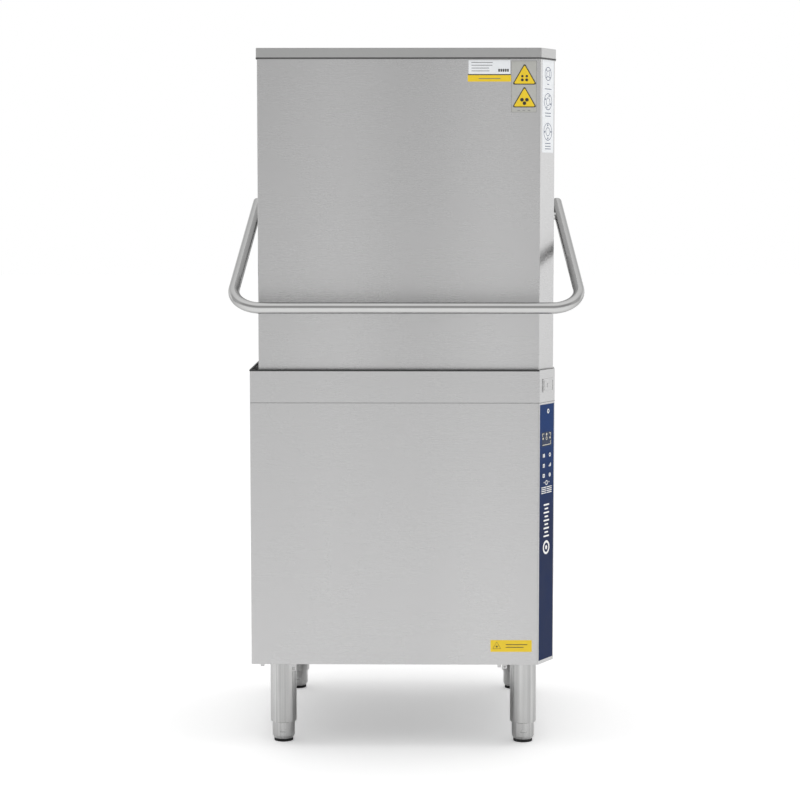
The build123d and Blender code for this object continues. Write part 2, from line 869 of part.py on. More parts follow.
with BuildPart() as water_hoses:
    suction_run = [
        (centre_x, suction_y, sump_bottom),
        (centre_x, suction_y, pump_z),
        (centre_x, pump_front - inlet_stub, pump_z),
    ]
    delivery_run = [
        (centre_x, outlet_y, outlet_top),
        (centre_x, outlet_y, delivery_z),
        (centre_x, riser_y, delivery_z),
        (centre_x, riser_y, hose_top),
    ]
    drain_run = [
        (overflow_x - 40, centre_y, drain_pump_z),
        (drain_x, centre_y, drain_pump_z),
        (drain_x, drain_run_y, drain_pump_z),
        (drain_x, drain_run_y, fittings_z),
        (drain_x, origin_rear + ring_half + drain_length, fittings_z),
    ]
    pipe(suction_run, suction_bend, suction_radius, suction_radius - suction_wall)
    pipe(delivery_run, delivery_bend, riser_radius, riser_radius - hose_wall)
    pipe(drain_run, drain_bend, drain_radius, drain_radius - hose_wall)
    ring_start = (drain_x, origin_rear - ring_half, fittings_z)
    with BuildSketch(Plane(origin=ring_start, x_dir=(1, 0, 0), z_dir=(0, 1, 0))) as ring:
        Circle(drain_ring_radius)
        Circle(drain_radius - hose_wall / 2, mode=Mode.SUBTRACT)
    extrude(ring.sketch, amount=2 * ring_half)
save(water_hoses, "water_hoses")

# ================= wash arms and their feed =================
upper_branch_z = 1317.0
riser_bend = 24.0
riser_wall = 3.0
rinse_bend = 8.0
rinse_start = 560.0
rinse_step = 6.0
arm_length = 235.0
spindle_radius = 8.0
spindle_head = (2.0, 3.0)
hub_bore = spindle_radius + running_gap
lower_spindle_top = 841.0
lower_hub_bottom = 804.0
upper_spindle_bottom = 1243.0
upper_hub_top = 1284.0
lower_wash_z = (806.0, 824.0)
lower_rinse_z = (828.0, 838.0)
upper_wash_z = (1264.0, 1282.0)
upper_rinse_z = (1246.0, 1256.0)

with BuildPart() as wash_manifold:
    upper_feed = [
        (centre_x, riser_y, hose_top),
        (centre_x, riser_y, upper_branch_z),
        (centre_x, centre_y, upper_branch_z),
        (centre_x, centre_y, upper_hub_top),
    ]
    lower_feed = [
        (centre_x, riser_y, branch_z),
        (centre_x, centre_y, branch_z),
        (centre_x, centre_y, lower_hub_bottom),
    ]
    head_height, head_overhang = spindle_head
    head_radius = spindle_radius + head_overhang
    pipe(upper_feed, riser_bend, riser_radius)
    pipe(lower_feed, riser_bend, riser_radius)
    post(centre_x, centre_y, lower_hub_bottom, lower_spindle_top, spindle_radius)
    post(centre_x, centre_y, lower_spindle_top - head_height, lower_spindle_top, head_radius)
    post(centre_x, centre_y, upper_spindle_bottom, upper_hub_top, spindle_radius)
    upper_head_top = upper_spindle_bottom + head_height
    post(centre_x, centre_y, upper_spindle_bottom, upper_head_top, head_radius)
    post(
        centre_x,
        riser_y,
        hose_top - 1,
        branch_z + 10,
        riser_radius - riser_wall,
        mode=Mode.SUBTRACT,
    )
save(wash_manifold, "wash_manifold")

with BuildPart() as rinse_pipe:
    upper_end_z = upper_hub_top + rinse_step
    lower_end_z = lower_hub_bottom - rinse_step - 3
    upper_rinse_feed = [
        (rinse_x, rinse_y, rinse_start),
        (rinse_x, rinse_y, upper_branch_z),
        (rinse_x, centre_y, upper_branch_z),
        (rinse_x, centre_y, upper_end_z),
        (centre_x + riser_radius, centre_y, upper_end_z),
    ]
    lower_rinse_feed = [
        (rinse_x, rinse_y, branch_z),
        (rinse_x, centre_y, branch_z),
        (rinse_x, centre_y, lower_end_z),
        (centre_x + riser_radius, centre_y, lower_end_z),
    ]
    pipe(upper_rinse_feed, rinse_bend, rinse_radius)
    pipe(lower_rinse_feed, rinse_bend, rinse_radius)
save(rinse_pipe, "rinse_pipe")

jet_places = (-205, -165, -125, -85, 75, 115, 155, 195)
jet_radius = 1.5
jet_boss_height = 2.4
arm_edge = 2.5


def spray_arm(label, z_range, half_width, angle, jet_side):
    """Flat two-ended spray arm with a hub, jets above (1) or below (-1) and a running bore."""
    low, high = z_range
    with BuildPart() as arm:
        with BuildSketch(Plane.XY.offset(low)) as outline:
            with Locations(Location((centre_x, centre_y, 0), angle)):
                SlotOverall(2 * arm_length, 2 * half_width)
            with Locations((centre_x, centre_y)):
                Circle(half_width + 6)
        extrude(outline.sketch, amount=high - low)
        fillet(arm.edges().filter_by(Plane.XY).filter_by(GeomType.LINE), radius=arm_edge)
        jet_z = high if jet_side > 0 else low
        direction = math.radians(angle)
        for reach in jet_places:
            x = centre_x + reach * math.cos(direction)
            y = centre_y + reach * math.sin(direction)
            with Locations((x, y, jet_z)):
                Cylinder(half_width * 0.35, jet_boss_height)
                Cylinder(jet_radius, 8, mode=Mode.SUBTRACT)
        post(centre_x, centre_y, low - 5, high + 5, hub_bore, mode=Mode.SUBTRACT)
    save(arm, label)


spray_arm("lower_wash_arm", lower_wash_z, 17.0, 25.0, 1)
spray_arm("lower_rinse_arm", lower_rinse_z, 9.0, 115.0, 1)
spray_arm("upper_wash_arm", upper_wash_z, 17.0, 20.0, -1)
spray_arm("upper_rinse_arm", upper_rinse_z, 9.0, 110.0, -1)

# ================= rinse and drain system =================
frame_deck = cabinet_bottom + frame_flange

boiler_x = -215.0
boiler_y = 190.0
boiler_z = (250.0, 520.0)
boiler_radius = 88.0
boiler_edge = 22.0
boiler_lid = (30.0, 530.0)
boiler_foot_circle = 60.0
boiler_foot_radius = 8.0
with BuildPart() as boiler:
    post(boiler_x, boiler_y, *boiler_z, boiler_radius)
    fillet(boiler.edges().filter_by(GeomType.CIRCLE), radius=boiler_edge)
    lid_radius, lid_top = boiler_lid
    post(boiler_x, boiler_y, boiler_z[1] - 2, lid_top, lid_radius)
    for turn in range(3):
        angle = math.radians(120 * turn + 30)
        x = boiler_x + boiler_foot_circle * math.cos(angle)
        y = boiler_y + boiler_foot_circle * math.sin(angle)
        post(x, y, frame_deck, boiler_z[0] + 6, boiler_foot_radius)
save(boiler, "boiler")

rinse_pump_y = 20.0
rinse_pump_z = 300.0
rinse_motor = ((-240.0, -150.0), 34.0)
rinse_volute = ((-256.0, -240.0), 42.0)
rinse_foot = ((-225.0, -165.0), (4.0, 38.0), 270.0)
with BuildPart() as rinse_pump:
    for x_range, radius in (rinse_motor, rinse_volute):
        bar_x(x_range, rinse_pump_y, rinse_pump_z, radius)
    foot_x, foot_y, foot_top = rinse_foot
    slab(foot_x, foot_y, (frame_deck, foot_top))
save(rinse_pump, "rinse_pump")

drain_housing = (430.0, 500.0, 40.0)
drain_neck = (500.0, sump_bottom, 24.0)
drain_motor = (370.0, 430.0, 30.0)
drain_bore_bottom = 505.0
drain_bore_radius = 14.0
with BuildPart() as drain_pump:
    for bottom, top, radius in (drain_housing, drain_neck, drain_motor):
        post(overflow_x, centre_y, bottom, top, radius)
    post(
        overflow_x,
        centre_y,
        drain_bore_bottom,
        sump_bottom + 1,
        drain_bore_radius,
        mode=Mode.SUBTRACT,
    )
save(drain_pump, "drain_pump")

valve_front = origin_rear - 42.0
valve_neck_end = origin_rear + 2.0
valve_bore_radius = 8.0
valve_bore_front = origin_rear - 30.0
coil_half = 16.0
coil_drop = (52.0, 10.0)
valve_flange_half = 20.0
with BuildPart() as inlet_valve:
    spigot_end = valve_neck_end + spigot_length
    bar_y(inlet_x, (valve_front, valve_neck_end), fittings_z, inlet_neck_radius)
    bar_y(inlet_x, (valve_neck_end, spigot_end), fittings_z, spigot_radius)
    slab(
        (inlet_x - coil_half, inlet_x + coil_half),
        (valve_front, origin_rear - 4),
        (fittings_z - coil_drop[0], fittings_z - coil_drop[1]),
    )
    slab(
        (inlet_x - valve_flange_half, inlet_x + valve_flange_half),
        (origin_rear - 5, origin_rear - sheet),
        (fittings_z - valve_flange_half, fittings_z + valve_flange_half),
    )
    bore_range = (valve_bore_front, spigot_end + 1)
    bar_y(inlet_x, bore_range, fittings_z, valve_bore_radius, mode=Mode.SUBTRACT)
save(inlet_valve, "inlet_valve")

dosing_y_places = (-150.0, -70.0)
dosing_x = (262.0, 300.0)
dosing_z = (360.0, 430.0)
dosing_width = 60.0
dosing_head = (248.0, 24.0)
with BuildPart() as dosing_pumps:
    head_front, head_radius = dosing_head
    for y in dosing_y_places:
        slab(dosing_x, (y, y + dosing_width), dosing_z)
        bar_x((head_front, dosing_x[0]), y + dosing_width / 2, sum(dosing_z) / 2, head_radius)
    fillet(dosing_pumps.edges().filter_by(Axis.X), radius=4)
save(dosing_pumps, "dosing_pumps")

box_x = (130.0, 300.0)
box_y = (-230.0, -30.0)
box_z = (bearer_top, 345.0)
box_wall = 2.0
relay_x = (180.0, 250.0)
relay_y = (-150.0, -110.0)
relay_top = 240.0
box_cable_hole = (160.0, 300.0, 9.0)
with BuildPart() as electrical_box:
    inside = [(low + box_wall, high - box_wall) for low, high in (box_x, box_y, box_z)]
    hole_x, hole_z, hole_radius = box_cable_hole
    slab(box_x, box_y, box_z)
    slab(*inside, mode=Mode.SUBTRACT)
    slab(relay_x, relay_y, (bearer_top + box_wall, relay_top))
    bar_y(hole_x, (box_y[1] - 10, box_y[1] + 10), hole_z, hole_radius, mode=Mode.SUBTRACT)
save(electrical_box, "electrical_box")

gland_bore = 7.0
gland_front = origin_rear - 14.0
gland_end = origin_rear + 20.0
nut_size = (16.5, 6.0)
gland_cap_radius = 13.0
lock_nut_radius = 16.0
with BuildPart() as cable_gland:
    nut_radius, nut_height = nut_size
    bar_y(gland_x, (gland_front, origin_rear + 8), fittings_z, gland_radius)
    nut_origin = (gland_x, origin_rear, fittings_z)
    with BuildSketch(Plane(origin=nut_origin, x_dir=(1, 0, 0), z_dir=(0, 1, 0))) as nut:
        RegularPolygon(nut_radius, 6)
    extrude(nut.sketch, amount=nut_height)
    bar_y(gland_x, (origin_rear + nut_height, gland_end), fittings_z, gland_cap_radius)
    fillet(cable_gland.faces().sort_by(Axis.Y)[-1].edges(), radius=3)
    bar_y(gland_x, (origin_rear - 8, origin_rear - sheet), fittings_z, lock_nut_radius)
    through = (gland_front - 1, gland_end + 1)
    bar_y(gland_x, through, fittings_z, gland_bore, mode=Mode.SUBTRACT)
save(cable_gland, "cable_gland")

# ================= hood guides behind the hood =================
column_front = column_y - column_depth / 2
column_back = column_y + column_depth / 2
column_inner = column_x - column_width / 2
column_outer = column_x + column_width / 2
crossbar_thickness = 6.0
spring_x = 120.0
spring_top = 1470.0
spring_bottom = 873.0
spring_radius = 15.0
spring_bore = 11.5
hanger_radius = 4.0
touch_gap = 0.2

with BuildPart() as guide_columns:
    for hand in (-1, 1):
        slab(
            hand_range(hand, column_inner, column_outer),
            (column_front, column_back),
            (deck_top, column_top),
        )
        slab(
            hand_range(hand, column_inner - 1, column_outer - column_wall),
            (column_front + column_wall, column_back - column_wall),
            (deck_top - 1, column_top + 1),
            mode=Mode.SUBTRACT,
        )
save(guide_columns, "guide_columns")

with BuildPart() as column_crossbar:
    slab(
        (-column_outer, column_outer),
        (column_front, column_back),
        (column_top, column_top + crossbar_thickness),
    )
    for x in (-spring_x, spring_x):
        post(x, column_y, spring_top + touch_gap, column_top, hanger_radius)
save(column_crossbar, "column_crossbar")

cover_front = 268.0
cover_rear = 332.0
cover_half = 262.0
cover_wall = 1.2
cover_flange = 12.0
with BuildPart() as rear_cover:
    slab((-cover_half, cover_half), (cover_front, cover_rear), (deck_top, cover_top))
    slab(
        (-cover_half + cover_wall, cover_half - cover_wall),
        (cover_front - 1, cover_rear - cover_wall),
        (deck_top - 1, cover_top - cover_wall),
        mode=Mode.SUBTRACT,
    )
    for hand in (-1, 1):
        flange = hand_range(hand, cover_half - cover_flange, cover_half - cover_wall / 2)
        slab(flange, (cover_front, cover_front + cover_wall), (deck_top, cover_top - cover_wall))
    fillet(rear_cover.edges().filter_by(Axis.Z).group_by(Axis.Y)[-1], radius=1.0)
save(rear_cover, "rear_cover")

switch_body = ((-190.0, -160.0), (312.0, cover_rear - cover_wall), (840.0, 890.0))
switch_plunger = ((-182.0, -168.0), (308.0, 312.0), (850.0, 862.0))
with BuildPart() as hood_switch:
    slab(*switch_body)
    slab(*switch_plunger)
save(hood_switch, "hood_switch")

carriage_half = 200.0
carriage_plate = 4.0
carriage_z = (860.0, 1045.0)
carriage_window = (280.0, 90.0)
ear_x = (194.0, 198.0)
ear_depth = 12.0
seat_half = 20.0
seat_depth = 10.0
seat_z = (spring_bottom - 3.2, spring_bottom - touch_gap)
with BuildPart() as hood_carriage:
    slab((-carriage_half, carriage_half), (hood_rear, hood_rear + carriage_plate), carriage_z)
    for hand in (-1, 1):
        slab(hand_range(hand, *ear_x), (hood_rear, column_y + ear_depth), carriage_z)
        seat_x = hand_range(hand, spring_x - seat_half, spring_x + seat_half)
        slab(seat_x, (hood_rear, column_y + seat_depth), seat_z)
        for z in roller_heights:
            hole_x = hand_range(hand, ear_x[0] - 1, ear_x[1] + 1)
            bar_x(hole_x, column_y, z, pin_radius + running_gap, mode=Mode.SUBTRACT)
    window_width, window_height = carriage_window
    with Locations((0, hood_rear, sum(carriage_z) / 2)):
        Box(window_width, 20, window_height, mode=Mode.SUBTRACT)
save(hood_carriage, "hood_carriage")

roller_start = column_x - roller_width / 2 - 2
roller_end = roller_start + roller_width
pin_end = column_x + 13
pin_head = (4.0, 8.0)
with BuildPart() as roller_pins:
    pin_head_height, pin_head_radius = pin_head
    for hand in (-1, 1):
        for z in roller_heights:
            head_x = hand_range(hand, ear_x[0] - pin_head_height, ear_x[0])
            bar_x(hand_range(hand, ear_x[0], pin_end), column_y, z, pin_radius)
            bar_x(head_x, column_y, z, pin_head_radius)
save(roller_pins, "roller_pins")

for label, z in (("lower_rollers", roller_heights[0]), ("upper_rollers", roller_heights[1])):
    with BuildPart() as rollers:
        for hand in (-1, 1):
            bar_x(hand_range(hand, roller_start, roller_end), column_y, z, roller_radius)
        fillet(rollers.edges().filter_by(GeomType.CIRCLE), radius=1.5)
        for hand in (-1, 1):
            bore_x = hand_range(hand, roller_start - 1, roller_end + 1)
            bar_x(bore_x, column_y, z, pin_radius + running_gap, mode=Mode.SUBTRACT)
    save(rollers, label)

with BuildPart() as balance_springs:
    for x in (-spring_x, spring_x):
        post(x, column_y, spring_bottom, spring_top, spring_radius)
        post(
            x, column_y, spring_bottom - 1, spring_top + 1, spring_bore, mode=Mode.SUBTRACT
        )
save(balance_springs, "balance_springs")

# ================= hood =================
shell_top = closed_height - 4.0
hem_bottom = hood_bottom + 2.0
bolt_radius = 4.0
bolt_reach = 4.0
bolt_head = (4.0, 6.5)
boss_radius = 8.5
bracket_plate = (66.0, 20.0, 2.0)
end_plug = 4.0
bracket_trim = (20.0, 140.0)
arm_start = Vector(arm_end_half_width, arm_end_y, arm_end_height)
arm_corner = Vector(grip_half_width, grip_y, grip_height)
arm_direction = (arm_corner - arm_start).normalized()
bolt_places = [arm_start + arm_direction * reach for reach in handle_bolt_places]


def handle_point(hand, vector):
    """Point of the handle's right arm, or of its mirror image on the left."""
    return (handle_centre_x + hand * vector.X, vector.Y, vector.Z)


with BuildPart() as hood_shell:
    sheet_ring(hood_points(0), hood_points(sheet), hood_bottom, shell_top)
    for hand in (-1, 1):
        for place in bolt_places:
            x, y, z = handle_point(hand, Vector(hood_half_width, place.Y, place.Z))
            bar_x((x - 5, x + 5), y, z, bolt_radius + loose_fit, mode=Mode.SUBTRACT)
save(hood_shell, "hood_shell")

with BuildPart() as hood_liner:
    sheet_ring(hood_points(liner_inset), hood_points(liner_inset + sheet), hem_bottom, liner_top)
    plate(hood_points(liner_inset + sheet / 2), liner_top - sheet, sheet)
    with BuildSketch(Plane.XY.offset(hem_bottom)) as hem:
        add(rounded_plan(hood_points(sheet + loose_fit), 1.0))
        add(rounded_plan(hood_points(liner_inset + sheet / 2), 0), mode=Mode.SUBTRACT)
    extrude(hem.sketch, amount=sheet)
save(hood_liner, "hood_liner")

with BuildPart() as hood_cap:
    cap_bottom = closed_height - cap_skirt
    inside_height = cap_skirt - sheet + 1
    plate(hood_points(-cap_overhang), cap_bottom, cap_skirt, radius=3.0)
    fillet(hood_cap.faces().sort_by(Axis.Z)[-1].edges(), radius=1.4)
    plate(
        hood_points(-cap_fit), cap_bottom - 1, inside_height, mode=Mode.SUBTRACT, radius=1.0
    )
save(hood_cap, "hood_cap")

with BuildPart() as hood_handle:
    route = [
        handle_point(-1, arm_start),
        handle_point(-1, arm_corner),
        handle_point(1, arm_corner),
        handle_point(1, arm_start),
    ]
    pipe(route, handle_bend, handle_radius, handle_radius - handle_wall)
    for hand in (-1, 1):
        end = Vector(*handle_point(hand, arm_start))
        along = Vector(hand * arm_direction.X, arm_direction.Y, arm_direction.Z)
        rod(end, along, -end_plug, handle_radius)
        for place in bolt_places:
            x, y, z = handle_point(hand, place)
            inner_half = tuple(sorted((x, x - hand * 20)))
            bar_x(inner_half, y, z, bolt_radius + loose_fit, mode=Mode.SUBTRACT)
    fillet(hood_handle.edges().filter_by(GeomType.CIRCLE).sort_by(Axis.Z)[-2:], radius=2.5)
save(hood_handle, "hood_handle")

with BuildPart() as handle_brackets:
    slant = math.degrees(math.atan2(arm_direction.Z, -arm_direction.Y))
    middle = (bolt_places[0] + bolt_places[1]) * 0.5
    plate_length, plate_width, plate_thickness = bracket_plate
    trim_start, trim_length = bracket_trim
    for hand in (-1, 1):
        wall_x = handle_centre_x + hand * hood_half_width
        for place in bolt_places:
            x, y, z = handle_point(hand, place)
            bar_x(tuple(sorted((wall_x, x))), y, z, boss_radius)
        base_origin = (wall_x, middle.Y, middle.Z)
        with BuildSketch(Plane(origin=base_origin, x_dir=(0, -1, 0), z_dir=(hand, 0, 0))) as base:
            with Locations(Location((0, 0, 0), -hand * slant)):
                SlotOverall(plate_length, plate_width)
        extrude(base.sketch, amount=plate_thickness)
    for hand in (-1, 1):
        wall_x = handle_centre_x + hand * hood_half_width
        near = handle_point(hand, arm_start - arm_direction * trim_start)
        along = (hand * arm_direction.X, arm_direction.Y, arm_direction.Z)
        rod(near, along, trim_length, handle_radius + loose_fit, mode=Mode.SUBTRACT)
        for place in bolt_places:
            x, y, z = handle_point(hand, place)
            hole_x = tuple(sorted((wall_x - hand, x + hand)))
            bar_x(hole_x, y, z, bolt_radius + loose_fit, mode=Mode.SUBTRACT)
save(handle_brackets, "handle_brackets")

with BuildPart() as handle_bolts:
    bolt_head_height, bolt_head_radius = bolt_head
    for hand in (-1, 1):
        inner_wall = handle_centre_x + hand * (hood_half_width - sheet)
        head_x = tuple(sorted((inner_wall, inner_wall - hand * bolt_head_height)))
        for place in bolt_places:
            x, y, z = handle_point(hand, place)
            shank_x = tuple(sorted((inner_wall, x - hand * bolt_reach)))
            bar_x(shank_x, y, z, bolt_radius)
            bar_x(head_x, y, z, bolt_head_radius)
save(handle_bolts, "handle_bolts")
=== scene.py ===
import json
import math

import bmesh
import bpy
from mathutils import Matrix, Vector


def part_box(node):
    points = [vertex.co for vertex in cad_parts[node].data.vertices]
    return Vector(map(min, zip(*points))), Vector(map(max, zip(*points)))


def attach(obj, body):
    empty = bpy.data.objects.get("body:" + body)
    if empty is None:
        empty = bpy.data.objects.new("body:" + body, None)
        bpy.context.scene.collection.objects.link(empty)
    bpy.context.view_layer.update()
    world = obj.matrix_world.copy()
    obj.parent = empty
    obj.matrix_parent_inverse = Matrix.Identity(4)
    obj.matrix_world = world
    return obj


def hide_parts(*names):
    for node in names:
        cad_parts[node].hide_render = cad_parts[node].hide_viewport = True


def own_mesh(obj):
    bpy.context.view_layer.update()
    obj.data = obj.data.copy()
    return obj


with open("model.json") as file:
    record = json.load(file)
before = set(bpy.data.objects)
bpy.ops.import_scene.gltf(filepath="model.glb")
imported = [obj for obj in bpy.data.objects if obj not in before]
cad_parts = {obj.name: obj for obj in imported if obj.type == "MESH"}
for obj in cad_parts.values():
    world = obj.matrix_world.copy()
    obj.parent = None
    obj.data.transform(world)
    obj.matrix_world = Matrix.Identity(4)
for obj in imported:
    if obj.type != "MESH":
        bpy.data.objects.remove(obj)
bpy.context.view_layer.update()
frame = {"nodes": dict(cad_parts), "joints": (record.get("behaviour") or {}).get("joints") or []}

MM = 0.001
UP = Vector((0, 0, 1))
FRONT = Vector((0, -1, 0))
FACE_TOLERANCE = 0.3 * MM
# Outward direction of the hood's and cabinet's cut-off corner: the power button is pressed against it.
CORNER = -Vector(next(j["axis"] for j in frame["joints"] if j["name"] == "power_button_press"))
# A face this level counts as a top and not as a wall.
LEVEL_FACE = 0.7
# Wide upright bands of tone in the sheet: angle per metre across, and the angle at the middle.
BAND_RATE = 17.95
BAND_PHASE = 4.26
# Painted shade on a polished tube: its tone where it turns away from the eye, as a share of its tone seen
# straight on.
RIM_PAINTED_SHADE = 0.36

# ---- camera ----
CAMERA_PLACE = (0.051, -5.084, 1.221)
CAMERA_PITCH_DOWN = 0.0925
CAMERA_TURN = 0.0121
CAMERA_LENS = 97.33
CAMERA_SENSOR = 36.0

# ---- light ----
# Brightness of the surroundings by height, 0 straight down, 0.5 level and 1 straight up.
WORLD_STRENGTH = 1.0
FRONT_LIGHT = ((0.0, 0.7), (0.49, 0.90), (0.53, 0.60), (0.60, 0.36), (0.80, 0.34), (0.92, 0.80), (1.0, 0.5))
SIDE_LIGHT = ((0.0, 0.6), (0.45, 0.60), (0.55, 0.55), (0.75, 0.5), (0.90, 0.85), (1.0, 0.9))
REAR_LIGHT = ((0.0, 0.8), (0.45, 1.1), (0.60, 1.1), (0.75, 0.8), (0.90, 0.9), (1.0, 0.9))
# Where, from straight in front (0) over the side (0.5) to straight behind (1), one light fades to the next.
FRONT_TO_SIDE = ((0.0, 0.0), (0.20, 0.0), (0.36, 1.0), (1.0, 1.0))
SIDE_TO_REAR = ((0.0, 0.0), (0.56, 0.0), (0.70, 1.0), (1.0, 1.0))
# Tone of the floor to the camera, light it adds there, and tone to all other rays.
FLOOR_SEEN = 0.95
FLOOR_GLOW = 0.31
FLOOR_REFLECTED = 1.12
OVERHEAD_PLACE = (0.0, -0.2, 3.6)
OVERHEAD_TARGET = (0, 0, 0.6)
OVERHEAD_SIZE = (3.2, 1.4)
OVERHEAD_POWER = 30

# ---- colours, linear ----
WHITE_INK = (0.78, 0.78, 0.76)
CREAM_INK = (0.72, 0.68, 0.55)
LABEL_WHITE = (0.80, 0.82, 0.84)
LABEL_YELLOW = (0.90, 0.635, 0.020)
LABEL_SILVER = (0.60, 0.60, 0.565)
LABEL_DARK = (0.035, 0.033, 0.030)
LABEL_GREY = (0.20, 0.20, 0.21)
LABEL_BLUE = (0.07, 0.10, 0.19)
FASCIA_BLUE = (0.0155, 0.0300, 0.094)
FASCIA_UPPER_BLUE = (0.0150, 0.0520, 0.190)
KEY_BLUE = (0.0150, 0.0420, 0.145)
STRIP_FADE = (0.50, 0.72)
DISPLAY_DARK = (0.013, 0.033, 0.092)
BLACK_PLASTIC = (0.022, 0.022, 0.023)
RUBBER_BLACK = (0.016, 0.016, 0.017)
ROLLER_PLASTIC = (0.62, 0.60, 0.54)
MOTOR_GREY = (0.055, 0.06, 0.065)
SHEET_STEEL = (0.652, 0.650, 0.651)
TUBE_STEEL = (0.680, 0.680, 0.675)
LEG_TONE = (0.545, 0.545, 0.541)
CAP_TONE = (0.560, 0.560, 0.556)
TANK_STEEL = (0.560, 0.560, 0.555)
GALVANISED = (0.520, 0.535, 0.545)
BRIGHT_STEEL = (0.680, 0.680, 0.680)


# ================= materials =================
# Places of the colour sockets of Blender's mix node.
MIX_FACTOR, MIX_FIRST, MIX_SECOND = 0, 6, 7
MIX_RESULT = 2


class Shader:
    """A node material with one Principled shader and short calls to add nodes."""

    def __init__(self, name):
        self.material = bpy.data.materials.new(name)
        self.material.use_nodes = True
        self.tree = self.material.node_tree
        self.tree.nodes.clear()
        output = self.tree.nodes.new("ShaderNodeOutputMaterial")
        self.surface = self.tree.nodes.new("ShaderNodeBsdfPrincipled")
        self.tree.links.new(self.surface.outputs[0], output.inputs[0])
        self.place = self.node("ShaderNodeTexCoord").outputs["Object"]

    def node(self, kind, settings=None, inputs=None):
        made = self.tree.nodes.new(kind)
        for key, value in (settings or {}).items():
            setattr(made, key, value)
        for key, value in (inputs or {}).items():
            self.put(made.inputs[key], value)
        return made

    def put(self, socket, value):
        if isinstance(value, bpy.types.NodeSocket):
            self.tree.links.new(value, socket)
        elif isinstance(value, tuple) and len(value) == 3 and socket.type == "RGBA":
            socket.default_value = (*value, 1.0)
        else:
            socket.default_value = value

    def set(self, name, value):
        self.put(self.surface.inputs[name], value)

    def math(self, operation, first, second=0.0, clamp=False):
        settings = {"operation": operation, "use_clamp": clamp}
        return self.node("ShaderNodeMath", settings, {0: first, 1: second}).outputs[0]

    def split(self, vector):
        return self.node("ShaderNodeSeparateXYZ", None, {0: vector}).outputs

    def join(self, x, y, z):
        return self.node("ShaderNodeCombineXYZ", None, {0: x, 1: y, 2: z}).outputs[0]

    def noise(self, vector, scale, detail=3.0, roughness=0.5, distortion=0.0):
        inputs = {
            "Vector": vector,
            "Scale": scale,
            "Detail": detail,
            "Roughness": roughness,
            "Distortion": distortion,
        }
        return self.node("ShaderNodeTexNoise", None, inputs).outputs[0]

    def remap(self, value, low, high, new_low, new_high):
        inputs = {0: value, 1: low, 2: high, 3: new_low, 4: new_high}
        return self.node("ShaderNodeMapRange", None, inputs).outputs[0]

    def mix(self, factor, first, second, blend="MIX"):
        settings = {"data_type": "RGBA", "blend_type": blend}
        made = self.node("ShaderNodeMix", settings)
        self.put(made.inputs[MIX_FACTOR], factor)
        self.put(made.inputs[MIX_FIRST], first)
        self.put(made.inputs[MIX_SECOND], second)
        return made.outputs[MIX_RESULT]

    def scale_colour(self, colour, factor):
        """Colour times a number that varies over the surface."""
        grey = self.join(factor, factor, factor)
        return self.mix(1.0, colour, grey, "MULTIPLY")

    def bump(self, height, distance, strength=1.0, normal=None):
        inputs = {"Height": height, "Distance": distance, "Strength": strength}
        made = self.node("ShaderNodeBump", None, inputs)
        if normal is not None:
            self.put(made.inputs["Normal"], normal)
        return made.outputs[0]


def edge_highlight_mask(shader, radius):
    """Mask for painted edge highlights, 1 near sharp edges and 0 on flat stretches, and the rounded normal.
    """
    rounded = shader.node("ShaderNodeBevel", {"samples": 3}, {"Radius": radius}).outputs[0]
    flat = shader.node("ShaderNodeNewGeometry").outputs["Normal"]
    same = shader.node("ShaderNodeVectorMath", {"operation": "DOT_PRODUCT"}, {0: rounded, 1: flat})
    edge_highlight = shader.remap(same.outputs["Value"], 0.995, 0.85, 0.0, 1.0)
    return edge_highlight, rounded


def grain_space(shader, along_scale, across_scale, seed):
    """Coordinates stretched along a level grain on walls, and along X on flat tops."""
    x, y, z = shader.split(shader.place)[:3]
    normal = shader.node("ShaderNodeNewGeometry").outputs["Normal"]
    level = shader.math("ABSOLUTE", shader.split(normal)[2])
    is_top = shader.math("GREATER_THAN", level, LEVEL_FACE)
    is_wall = shader.math("SUBTRACT", 1.0, is_top)
    along = shader.math("ADD", x, shader.math("MULTIPLY", y, is_wall))
    across = shader.math(
        "ADD", shader.math("MULTIPLY", z, is_wall), shader.math("MULTIPLY", y, is_top)
    )
    return shader.join(
        shader.math("MULTIPLY", along, along_scale),
        shader.math("MULTIPLY", across, across_scale),
        seed,
    )


